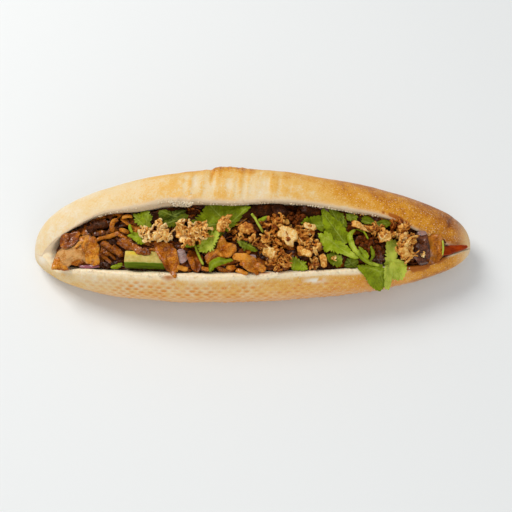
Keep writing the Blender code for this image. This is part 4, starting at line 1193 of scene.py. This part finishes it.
# ---- The pieces that show, from the left, placed as seen from the front ----------------------------------
with piece("onion", "red_onion_slice_left") as soup:
    lay_ribbon(soup, "-109.4,-6.9 -103,-7.2 -97,-6.4", (1.4, 2.2, 1.6), 1.2, 2, crag=0.05, tone=0.4,
               rim=0.75)
with piece("pale", "meat_slice_left") as soup:
    lay_meat(soup, (-112.0, 2.0), "-14.6,-10.4 -15,-7.6 -13.2,-2.9 -11.5,1.2 -8.8,3.2 -4.6,3.8 -0.2,5.6 "
             "2.9,9.8 6.8,10.6 10.4,8.6 12.6,4.4 13.8,-1.2 14.6,-5.8 11,-7.6 6,-6.6 2.4,-5.6 -2,-7.6 "
             "-5.2,-9.4 -10.4,-10.2", 2.4, 1, 0.8, grain=20, droop=0.002, stiffness=70, ragged=0.4, wave=0.5)
with piece("gold", name="meat_flaps_left") as soup:
    lay_meat(soup, (-102.6, 4.6), "-7,3.4 -7.4,7.4 -1.6,8.4 3.2,6.6 5.2,1.9 5.8,-4.3 6.8,-9.6 2.2,-11.2 "
             "-2.4,-9 -3.6,-4.5 -5.5,0", 1.6, 90, 0.66, grain=80, droop=0.003, stiffness=50, ragged=0.5,
             wave=0.6, shine=0.6, step=0.5)
    lay_meat(soup, (-115.0, 8.6), "-6.8,1.6 -5.8,3.6 -1,4.9 5.2,6 7.2,4.6 6.8,0 4,-3.6 -2.2,-6.4 -5.8,-4.4 "
             "-6.9,-1", 1.6, 91, 0.16, grain=30, droop=0.003, ragged=0.15, wave=0.25, shine=0.8, relief=0.5,
             step=0.5)
    lay_meat(soup, (-121.6, -4.6), "-5.2,-3.8 -5,-1.2 -3.4,3.6 -0.8,4.4 0.8,0.4 2.2,-2 7.2,-3 4.6,-4.4", 1.5,
             93, 0.62, ragged=0.3, shine=0.6, step=0.5)
    lay_meat(soup, (-110.5, -4.6), "-6,-1.2 -1,0.6 4,1.2 5,-0.4 0,-1.6", 1.3, 95, 0.45, ragged=0.3,
             shine=0.5, step=0.5)
    lay_ribbon(soup, "-112.2,4.6 -110.2,6.6 -107.8,9.2", (1.4, 2.2, 1.2), 1.0, 94, crag=0.3, tone=1.0,
               deep=0.0, shine=0.5)
    lay_ribbon(soup, "-101,13.2 -97,13.6 -93,13.4", (2.6, 3.6, 2.4), 1.4, 96, crag=0.2, tone=0.15, deep=0.2,
               shine=1.0, blunt=5)
with piece("brown", "meat_strip_dark") as soup:
    for path, width, seed in (("-96,8 -88,3 -83,-0.5", (3, 4.4, 3), 31),
                              ("-89,6 -85,2 -82,0", (3, 4, 2), 32),
                              ("-96.5,0.5 -93,-2.5 -89.5,-4.5", (2, 2.4, 1.6), 33),
                              ("-93.5,2.5 -90,0 -87,-2.5", (2, 2.2, 1.4), 34)):
        lay_ribbon(soup, path, width, 1.9, seed, crag=0.3, tone=0.5, deep=0.1, shine=0.6)
with piece("brown", "meat_strip_thin") as soup:
    lay_ribbon(soup, "-98.5,9 -92,11.2 -86.5,12.6 -82.5,11.2 -79.5,8.8", (2.2, 3, 2.8, 2), 1.9, 4, crag=0.3,
               tone=0.75, deep=0.0, shine=0.5)
    lay_ribbon(soup, "-101,13.4 -97,13.6 -93.5,13.8", (3.2, 3.4, 2.6), 1.8, 35, tone=0.35, deep=0.1,
               shine=0.9)
with piece("gold", "meat_curl") as soup:
    lay_ribbon(soup, "-88.4,14.4,0 -89.2,17.8,1.2 -87.8,20.6,1.6 -85.2,22,0.6", (2.6, 2.8, 2.2), 1.7, 5,
               tone=0.6, deep=0.0, shine=0.5)
    lay_ribbon(soup, "-84.6,15,0 -81,14.4,0.8 -78.4,14.2,0", (2.6, 2.8, 2.0), 1.6, 36, tone=0.55, deep=0.0,
               shine=0.4)
    lay_ribbon(soup, "-83.2,23,0 -79.6,23.6,0.8 -76.4,23.6,0", (2.2, 2.4, 1.6), 1.5, 37, tone=0.7, deep=0.0,
               shine=0.4)
with piece("leaf", "cilantro_leaf_by_cucumber") as soup:
    lay_leaf(soup, (-86.3, -6.5), "-4.5,-0.6 -1.7,0.8 3.8,1.9 4.5,0.1 0.3,-1.6 -3.8,-1.8", 6, 0.55,
             teeth=0.4, pitch=1.8)
make_cucumber()
with piece("brown", "meat_strip_long") as soup:
    lay_ribbon(soup, "-86.5,8.2 -79,5.4 -72,2.6 -65,1.6", (3.0, 5.6, 5.6, 3.6), 1.1, 7, droop=4, crag=0.35,
               tone=0.4, deep=0.0, shine=0.9, blunt=5, bank=0.8, roundness=5.0, ragged=0.25)
with piece("onion", "red_onion_slice_mid") as soup:
    lay_meat(soup, (-45.6, -0.4), "-3.4,2 -1.6,3.8 1.2,3.2 3.6,0.4 3,-2.6 0.6,-4.6 -1.8,-4 -2.6,-1", 1.2, 8,
             0.8, ragged=0.3, wave=0.5)
with piece("gold", "meat_slab_over_lip") as soup:
    lay_meat(soup, (-55.0, 0.6), "-8.6,8.4 -2.8,7.9 2.8,6.9 5.6,2.8 6.9,-1.4 7.8,-5.2 7.6,-8.4 6.6,-11.2 "
             "3.4,-11.8 -0.6,-9.6 -4.4,-3.6 -7.8,2.1", 2.4, 9, 0.42, grain=-50, droop=0.008, stiffness=50,
             ragged=0.25, wave=0.4, shine=0.6, step=0.5)
    lay_ribbon(soup, "-52,-9.6 -50.6,-12 -50,-14", (3.4, 3.0, 1.6), 1.2, 97, droop=9, tone=0.6, deep=0.0,
               shine=0.8)
with piece("gold", name="meat_bits_by_slab") as soup:
    lay_meat(soup, (-38.2, -3.6), "-3.8,7.4 1.2,8 5,4 5.6,-1.2 2.6,-6.8 -1,-5.4 -3.2,-1.8 -5,3.2", 1.8, 98,
             0.05, grain=-60, droop=0.004, ragged=0.25, wave=0.5, shine=0.9, step=0.5)
    for path, width, seed, tone in (("-49,-7 -45.6,-8.2 -42,-9", (2.6, 3.6, 2), 38, 0.85),
                                    ("-40.6,-1 -39,-5 -38.4,-8.6", (3, 4, 3), 39, 0.25),
                                    ("-34,-7.6 -31,-8.8 -28.4,-9", (1.8, 2.4, 2), 40, 0.7),
                                    ("-18.4,-6.6 -15.6,-8 -12.4,-7.4", (2.4, 3.2, 2), 41, 0.7),
                                    ("-12.6,-10 -8.6,-11 -5,-11.8", (2.0, 2.8, 2), 42, 0.7)):
        lay_ribbon(soup, path, width, 1.8, seed, crag=0.4, tone=tone, deep=0.0, shine=0.4)
with piece("gold", "meat_slab_gold") as soup:
    lay_meat(soup, (-21.9, 2.0), "0.7,9.3 3.8,5.5 10,3.4 10,-0.7 6.6,-4.1 1,-5.5 -5.2,-8.3 -8.6,-8.3 "
             "-10.3,-4.8 -8.6,-1.4 -3.1,1.4 -1.7,6.2", 3.0, 10, 0.58, grain=50, ragged=0.2, shine=0.5,
             step=0.5)
# The far slices take low tones of the dark paint: dark sauce, deepened further as painted shade under the far
# lip.
with piece("dark", "meat_slice_far") as soup:
    for middle, size, turn, seed, tone in (((6.7, 28.0), (18, 8), -6, 11, 0.28),
                                           ((14.5, 28.0), (9, 9), 30, 51, 0.22),
                                           ((34.3, 28.0), (12, 6), -8, 52, 0.25),
                                           ((-5, 27), (9, 7), 10, 53, 0.35),
                                           ((-62, 24), (16, 6), 14, 54, 0.15),
                                           ((-98, 17.5), (14, 6), 20, 55, 0.35)):
        lay_meat(soup, middle, box_outline(*size, turn, seed), 2.2, seed, tone, grain=turn, ragged=0.3,
                 shine=0.2, relief=0.5)
    strew_mince(soup, 24.5, 22.8, 12, 8, 10, 34, 2.8, 0.9)
with piece("onion", "red_onion_slice_centre") as soup:
    lay_meat(soup, (-5.0, -0.8), "-6.2,2 0,0.9 5.5,1.8 4.6,-1 0.5,-3 -3.5,-1.6", 1.4, 12, 0.8, ragged=0.1,
             wave=0.2)
with piece("gold", "meat_strip_ragged") as soup:
    lay_ribbon(soup, "-14.6,-0.6,0.4 -8.4,-2.9,1.2 -1.4,-6.6,1.4 5.4,-10.8,0.8", (3.4, 5.4, 6.6, 5.6), 2.0,
               13, droop=4, ragged=0.25, crag=0.6, tone=0.72, deep=0.0, shine=0.6, blunt=6, bank=0.8,
               sides=20)
    lay_ribbon(soup, "-9.6,-6.2 -4,-9.4 1.6,-11.6", (2.4, 4.2, 3.0), 1.6, 99, droop=4, ragged=0.3, crag=0.6,
               tone=0.5, deep=0.0, shine=0.5, blunt=6)
with piece("brown", "meat_slab_low") as soup:
    lay_meat(soup, (13.5, -5.2), box_outline(15, 7, -14, 14), 2.6, 14, 0.25, ragged=0.5, shine=0.5)
with piece("onion", "red_onion_slice_far") as soup:
    lay_meat(soup, (42.0, 29.2), box_outline(8, 3.4, -6, 15), 1.2, 15, 0.1, ragged=0.1, wave=0.2)
with piece("dark", "meat_slice_under_leaf") as soup:
    lay_meat(soup, (70.5, 2.5), box_outline(18, 14, -10, 16), 2.4, 16, 0.5, ragged=0.5, shine=0.8)
    strew_mince(soup, 69.9, 6.5, 16, 12, -20, 60, 2.6, 0.95)
with piece("brown", "meat_slice_right") as soup:
    lay_meat(soup, (110.6, 3.2), "-6.4,8.8 1,9.6 4.8,7.6 5.4,-3.8 2,-7.6 -3.4,-9.6 -7.4,-8 -7.4,-1", 2.2, 19,
             0.88, grain=80, droop=0.003, stiffness=60, ragged=0.3, wave=0.5, shine=0.6)
with piece("leaf", name="green_strip_right") as soup:
    lay_ribbon(soup, "115.6,9.8 116,4.8 115.6,0.2", (0.8, 1.2, 0.8), 1.0, 86, tone=0.95, vein=0.6)
with piece("dark", "meat_slice_glossy") as soup:
    lay_meat(soup, (102.4, 3.3), "-5.5,8.3 -2.8,10.3 3.4,11 4.8,4.1 5.5,-4.1 4.1,-9 -1.4,-9.7 -5.5,-4.8 "
             "-4.8,2.1", 2.4, 17, 0.56, grain=80, droop=0.003, stiffness=60, ragged=0.12, shine=1.25,
             wave=0.3, relief=0.05)
with piece("onion", "red_onion_slice_right") as soup:
    lay_meat(soup, (102.6, 14.0), "-3.8,-0.4 -1,1.6 3,1.2 3.4,-1 0,-1.8", 1.3, 18, 0.5, ragged=0.1, wave=0.2)

with piece("leaf", "cilantro_leaf_far_left") as soup:
    lay_leaf(soup, (-70.1, 22.3), "-7.6,4.1 -3.4,4.5 0.3,6 4.5,5.3 5.2,2.8 7.2,0.7 5.5,-1.7 5.9,-4.8 "
             "1.4,-5.9 -2.4,-4.1 -5.5,-2.1 -5.9,1.4", 20, 0.45, teeth=0.8, base=(2, -5))
with piece("leaf", "cilantro_leaf_light") as soup:
    lay_leaf(soup, (-72.9, 10.2), "-8.3,1.4 -3.4,3.8 0.7,4.8 2,2 3.4,-0.7 8.3,-0.7 3.4,-4.8 0.7,-5.2 "
             "-1.4,-2.8 -4.1,0", 21, 0.72, teeth=0.7, base=(3, 1), lift=0.6)
    lay_ribbon(soup, "-78.2,19.4,0.5 -77.8,16.4,1.2 -76.6,13.6,0.8", (1.2, 2.2, 1.6), 0.5, 62, tone=0.6,
               vein=0.5)
with piece("leaf", "cilantro_leaf_dark") as soup:
    lay_leaf(soup, (-51.5, 24.6), box_outline(17, 6.5, 5, 63), 63, 0.02, teeth=0.6)
    lay_leaf(soup, (-50.5, 21.2), "-7.6,0 -4.8,0.7 1.4,2 4.8,5.2 7.6,4.8 9.7,3.4 6.9,0 0,-3.4 -4.8,-4.1 "
             "-8.3,-2.8", 22, 0.09, teeth=0.8, base=(-7, -2), lift=0.5)
    lay_leaf(soup, (-57.5, 9.6), "-5.5,0.6 0,1.9 6,1 5.5,-1.4 0,-1.6", 64, 0.25, teeth=0.4)
with piece("leaf", "cilantro_leaf_big") as soup:
    lay_leaf(soup, (-22.9, 19.2), "-11.7,8.3 -6.9,13.4 2.1,15.5 8.3,14.5 11.7,12.4 20,11 20.3,7.6 15.2,6.9 "
             "14.8,4.1 11,0 4.1,-5.5 0.7,-9 -2.8,-15.5 -7.6,-16.6 -11.7,-13.8 -7.9,-8.3 -6.2,-3.4 "
             "-13.1,-1.4 -20.7,-1 -16.6,3.4", 23, 0.42, teeth=1.2, pitch=2.6, base=(6, 0), droop=0.006,
             stiffness=80, wave=1.1)
    lay_leaf(soup, (-28.6, 8.0), "-4.6,7 0,6.4 5.6,7.8 6.6,3.4 3.8,-1.6 2.4,-6 -2.6,-6.6 -7.4,-5.2 "
             "-8.6,-1.4 -5.4,2.4", 69, 0.84, teeth=0.9, base=(1, 7), droop=0.004, stiffness=60, lift=0.7)
with piece("leaf", "cilantro_leaf_curled") as soup:
    lay_ribbon(soup, "-28.6,-10.6,0 -27,-7.2,1.2 -22,-5,1.6 -14,-3,1.2", (1.6, 4.0, 4.4, 1.2), 0.7, 24,
               droop=6, bank=1.0, tone=0.5, vein=0.6, teeth=0.3)
with piece("leaf", "cilantro_leaf_centre") as soup:
    lay_leaf(soup, (-6.0, 5.8), "-7.2,4.5 -1,3.1 3.8,0.3 7.9,-2.4 5.9,-4.5 1,-2.4 -1.7,-3.1 -5.2,1", 25,
             0.38, teeth=0.8, base=(-5, 3), lift=0.4)
with piece("leaf", "cilantro_leaf_near") as soup:
    lay_leaf(soup, (26.6, -5.3), "-6.2,3.8 -2.1,5.9 1.4,3.1 4.8,1.7 5.5,-4.5 2.1,-5.2 -4.1,-4.5 -5.2,-1.7",
             26, 0.62, teeth=0.8, base=(-2, 5), droop=0.006)
with piece("leaf", "cilantro_leaf_far") as soup:
    lay_leaf(soup, (74.0, 20.4), "-10.4,0.7 -5.6,5.5 -3.4,1.4 0,-1.4 4.8,2.1 7.6,2.4 10.4,0.7 8.3,-2.8 "
             "2.8,-3.4 -2.8,-2.1 -9,-1", 28, 0.3, teeth=0.7, base=(0, -2), lift=0.5)
    lay_leaf(soup, (59.0, 23.4), "-4,2.4 1.5,2.6 5,1.4 3.4,-1.8 -1,-2.8 -3.6,-1", 65, 0.5, teeth=0.5)
with piece("leaf", "cilantro_sprig_long") as soup:
    lay_leaf(soup, (34.5, 20.0), "-8,-2.1 -4.1,2.6 -0.2,3.9 4.4,4.3 7.5,3.4 9.4,-3.5 7.2,-6.6 2.8,-4 "
             "-1.8,-0.8 -5.7,-2.6", 66, 0.42, teeth=0.5, base=(7, -2), lift=0.5)
    lay_leaf(soup, (51.0, 23.6), "-6,6.5 -3.4,5.6 0,3.6 3.4,2.4 4.9,-1.7 6,-6.6 1.5,-5.4 -3.5,-2.4 -6,2", 67,
             0.3, teeth=0.4, base=(3, -8), lift=0.9)
    lay_leaf(soup, (49.3, 16.2), "-9.6,11.2 -6.6,12.4 -4.8,9.9 0.5,5.4 5.3,3.1 7.8,-2.4 7.8,-8.5 4.4,-11 "
             "-1,-9.6 -5.4,-7.4 -7.4,-3.4 -8.1,0.5 -8.4,4 -9.4,7.6", 68, 0.46, teeth=0.7, pitch=2.6,
             base=(6, -9), lift=1.2, stiffness=90, wave=1.2)
with piece("leaf", "cilantro_leaf_fold") as soup:
    lay_leaf(soup, (48.5, -2.8), "-5.4,3 -1,4.6 5,2.4 5.4,-2.6 3,-4.6 -1.6,-3.6 -4.6,-0.6", 27, 0.42,
             teeth=0.4, base=(4, 2), lift=0.4)
with piece("leaf", "cilantro_leaf_over_lip") as soup:
    lay_leaf(soup, (58.6, -6.4), "-4.8,-1.6 -3,3 1.6,3.4 4.8,1.6 3.6,-2.8 -2.4,-3.6", 70, 0.14, teeth=0.3,
             droop=0.006)
    lay_leaf(soup, (71.5, -12.4), "-9.4,6.4 -4.1,7 0.7,6.6 6.6,6.8 9.6,3 9.4,-4.4 7.2,-7 4.3,-7.4 -1.4,-4.4 "
             "-5.5,-0.2 -9,2.6", 30, 0.52, teeth=0.6, droop=0.01, base=(5, 2), stiffness=30, lift=1.0)
with piece("leaf", "cilantro_ribbon") as soup:
    lay_leaf(soup, (47.6, 5.0), "-10.4,9.2 -7.6,7.6 -4.8,9.4 -3,7.4 -1,8.2 0,4 5.5,2.8 9.6,0 13.8,-5 "
             "19,-7.6 13,-8.2 8,-6 3,-4.6 -2.4,-3.4 -5.2,-4.6 -7,0.4 -9,4.6", 31, 0.74, teeth=0.8, pitch=2.4,
             base=(12, -6), lift=1.4, stiffness=80)
    lay_ribbon(soup, "61.8,16.2,0.5 58.2,12.4,3 58.2,7.6,4.4 60.4,3,3.8 64.6,-1.2,2.4 70,-4.6,1.2 "
               "76.5,-6.4,0.6", (1.4, 3.2, 3.8, 3.4, 3.0, 2.2, 1.2), 0.6, 71, tone=0.74, vein=0.8, bank=0.8,
               crag=0.1, on_ground=False)
    lay_leaf(soup, (66.2, 1.0), "-3.4,3.6 1,2.2 3.8,-0.4 4,-4 0.6,-2.8 -2.4,0.6", 72, 0.5, teeth=0.3,
             lift=1.5)
    lay_ribbon(soup, "62,16,1 66.4,13.8,1.6 69.4,9.6,1", (1.0, 1.2, 0.8), 0.8, 73, tone=0.62, vein=0.3)
    lay_ribbon(soup, "71,6,0.6 72.4,-0.4,1 70.4,-4,0.6", (1.2, 2.4, 1.0), 0.8, 74, tone=0.4, vein=0.3)
with piece("leaf", "cilantro_leaf_light_right") as soup:
    lay_leaf(soup, (85.0, -3.6), "-4.6,12.6 -1.6,14.4 4.2,12.4 6,10.6 3.4,7.2 1.8,4.2 3.8,1 9,-0.6 8.6,-6.4 "
             "6.6,-10.8 1.6,-11.4 -1.6,-10 -1.6,-16.6 -5.6,-17.2 -7,-9 -6.2,-2 -5.4,4", 32, 0.95, teeth=0.8,
             pitch=2.6, base=(-4, -7), droop=0.012, stiffness=40, lift=0.6)
with piece("leaf", "cilantro_stem_left") as soup:
    lay_ribbon(soup, "-37.6,5.4 -35.8,0.6 -32.6,-6.2", (1.7, 1.6, 1.5), 1.5, 75, tone=0.8, vein=0.3,
               roundness=2.2, crag=0.03, ragged=0.02, stiffness=20)
    lay_leaf(soup, (-40.4, 4.6), "-4.8,0.6 0,1.2 4.4,1 3,-1 -3,-1", 76, 0.55, teeth=0.2, lift=0.6)
with piece("leaf", "cilantro_stem_centre") as soup:
    lay_ribbon(soup, "-2.8,26,0.5 0.4,20.4,1.5 4.6,13.8,0.5", (1.7, 1.6, 1.5), 1.5, 75, tone=0.85, vein=0.3,
               roundness=2.2, crag=0.03, ragged=0.02, stiffness=20)
    lay_ribbon(soup, "1.6,20.8,1 4.6,22,1.2 7.6,24.2,0.6", (1.4, 2.4, 1.0), 0.6, 77, tone=0.6, vein=0.4)

with piece("fried", "fried_onion_left") as soup:
    for patch_of in ((-67.6, 13.4, 9, 9, 80, 20, 0.82), (-61.5, 12.0, 8, 5, 0, 12, 0.74),
                     (-59.6, 19.6, 2.5, 9, 0, 8, 0.92), (-55.4, 13.4, 10, 7, 0, 18, 0.98)):
        strew_crisps(soup, *patch_of)
with piece("fried", "fried_onion_mid_left") as soup:
    crisp_flake(soup, (-43.6, 10.6), "-4.6,3 -1.4,5.2 2.6,3.6 5,1.6 3.6,-3 0,-4.6 -4,-2", 1.5, 78, 0.86,
                lift=1.6)
    strew_crisps(soup, -42.0, 15.4, 14, 7, -10, 22, 0.72)
    strew_crisps(soup, -34.0, 14.0, 11, 10, 10, 26, 0.66)
    strew_crisps(soup, -39.0, 8.6, 12, 4, 10, 9, 0.62)
    strew_crisps(soup, -45.2, 18.6, 2.2, 4.0, 30, 4, 0.8)
    strew_crisps(soup, -40.0, 18.4, 2.2, 4.4, 20, 4, 0.8)
with piece("fried", "fried_onion_flake_on_leaf") as soup:
    crisp_flake(soup, (-21.0, 18.6), "-3.2,-4.4 1.6,-5 2.8,0 4.2,3.6 8.2,7.4 4.2,7.2 0,4.8 -3.2,1.2", 2.0,
                40, 0.58, lift=0.8)
    strew_crisps(soup, -19.0, 20.4, 12, 5, 60, 12, 0.5, 0.8)
with piece("fried", "fried_onion_ring_dark") as soup:
    crisp_flake(soup, (-5.6, 15.6), "-5.6,2 -1,4.8 3.8,2.8 5.2,-1.2 1.6,-3.8 -3,-2 -6,-0.6", 2.2, 41, 0.36,
                lift=0.5)
    lay_ribbon(soup, "-0.4,15.4,0.6 -1.2,11.2,1 -5.2,9.2,0.6 -8.8,10.6,0.4", (1.4, 1.6, 1.4), 1.3, 79,
               crag=0.3, tone=0.22, edge=0.3)
    strew_crisps(soup, -11.6, 12.4, 6, 6, 0, 9, 0.5, 0.85)
with piece("fried", "fried_onion_centre") as soup:
    for patch_of in ((13.2, 20.6, 13, 7, -12, 26, 0.4), (6.7, 9.2, 17, 8, 14, 28, 0.44),
                     (17.5, 14.0, 13, 9, 0, 14, 0.34), (31.0, 12.5, 12, 12, -30, 28, 0.42),
                     (31.6, 1.6, 12, 6, 0, 14, 0.4), (13.4, -2.6, 13, 11, -30, 30, 0.42),
                     (35.0, -4.8, 6, 4.5, -20, 12, 0.4), (37.0, 4.2, 5, 6, 0, 8, 0.5),
                     (8.5, 4.5, 8, 5, 0, 8, 0.46)):
        strew_crisps(soup, *patch_of)
    lay_ribbon(soup, "40,0.2,0.8 41.6,-3.4,1.4 42,-7.6,0.6", (3.0, 4.4, 3.2), 2.2, 80, crag=0.5, tone=0.55,
               edge=0.2)
with piece("fried", "fried_onion_flake_pale") as soup:
    crisp_flake(soup, (19.6, 11.7), "-4.4,6.3 0,5.6 6.9,3.6 6.2,-0.4 2.8,-6.6 -0.4,-5.4 -3,-3.2 -6.9,0.2",
                1.5, 42, 0.8, lift=0.8)
    crisp_flake(soup, (32.8, 17.6), box_outline(7, 4.6, -12, 81), 1.4, 81, 0.8, lift=0.6)
with piece("fried", "fried_onion_flake_low") as soup:
    crisp_flake(soup, (8.0, 1.2), box_outline(8, 5.6, -30, 43), 1.6, 43, 0.74, lift=0.8)
    crisp_flake(soup, (31.0, 1.4), box_outline(6.4, 3.6, -16, 82), 1.4, 82, 0.72, lift=0.6)
with piece("fried", "fried_onion_mid_right") as soup:
    crisp_flake(soup, (66.0, 17.0), box_outline(13, 4.4, -14, 83), 1.5, 83, 0.64, lift=0.6)
    for patch_of in ((74.5, 15.4, 10, 5, -6, 18, 0.46), (80.0, 11.6, 8, 7, 0, 14, 0.5),
                     (87.0, 18.8, 7, 6, 0, 14, 0.36), (62.0, 27.2, 12, 1.6, -4, 8, 0.5)):
        strew_crisps(soup, *patch_of)
    crisp_flake(soup, (79.6, 11.6), box_outline(7, 5.6, 10, 84), 1.5, 84, 0.5, lift=0.4)
with piece("fried", "fried_onion_right") as soup:
    for patch_of in ((92.0, 14.0, 7, 10, 20, 24, 0.5), (93.4, 2.0, 11, 9, -30, 28, 0.6),
                     (96.2, 9.6, 4, 7, 0, 9, 0.5), (91.4, 7.0, 6, 6, 0, 10, 0.55)):
        strew_crisps(soup, *patch_of)
    crisp_flake(soup, (91.2, 1.4), box_outline(6.0, 7.0, 30, 85), 1.4, 85, 0.64, lift=0.4)
    strew_crisps(soup, 102.6, 1.4, 3.6, 2.6, -40, 5, 0.9, 0.5)
    strew_crisps(soup, 108.0, 14.6, 4, 1.6, 0, 4, 0.7, 0.5)
    strew_crisps(soup, 48.6, -1.8, 3.6, 1.2, 0, 3, 0.7, 0.5)


# ---- Stage -----------------------------------------------------------------------------------------------
LAMPS = (("key", (-0.75, 0.55, 1.15), 0.7, 13.4, (1.0, 0.975, 0.93)),  # name, place, size, power, colour
         ("fill", (0.35, -1.05, 0.75), 1.0, 4.6, (1.0, 0.97, 0.93)))
LIT = Vector((0, 0, 0.02))  # what the lamps point at
FLOOR_REACH = 3.0


def put_on_stage(name, data, place=(0, 0, 0), towards=None):
    """Adds an object at a place, turned so that its -Z looks in a direction."""
    made = bpy.data.objects.new(name, data)
    made.location = place
    if towards:
        made.rotation_euler = towards.to_track_quat("-Z", "Y").to_euler()
    bpy.context.scene.collection.objects.link(made)
    return made


def add_stage():
    """The floor, the studio light, two lamps and the main camera."""
    scene = bpy.context.scene
    mesh = bpy.data.meshes.new("floor")
    corners = [(a * FLOOR_REACH, b * FLOOR_REACH, 0) for a, b in ((-1, -1), (1, -1), (1, 1), (-1, 1))]
    mesh.from_pydata(corners, [], [(0, 1, 2, 3)])
    mesh.materials.append(Paint("floor", Base_Color=(0.82, 0.845, 0.86), Roughness=0.75).material)
    put_on_stage("floor", mesh)
    scene.world = bpy.data.worlds.new("studio")
    scene.world.use_nodes = True
    sky = scene.world.node_tree.nodes["Background"].inputs
    sky["Color"].default_value, sky["Strength"].default_value = (0.98, 0.99, 1.0, 1), 0.47
    for name, place, size, power, colour in LAMPS:
        light = bpy.data.lights.new(name, "AREA")
        light.size, light.energy, light.color = size, power, colour
        put_on_stage(name, light, place, LIT - Vector(place))
    camera = bpy.data.cameras.new("camera")
    camera.angle = math.radians(25.0)
    scene.camera = put_on_stage("camera", camera, VIEW_AIM + VIEW_BACK * VIEW_DISTANCE, Vector(-VIEW_BACK))
    scene.view_settings.view_transform = "Standard"


add_stage()
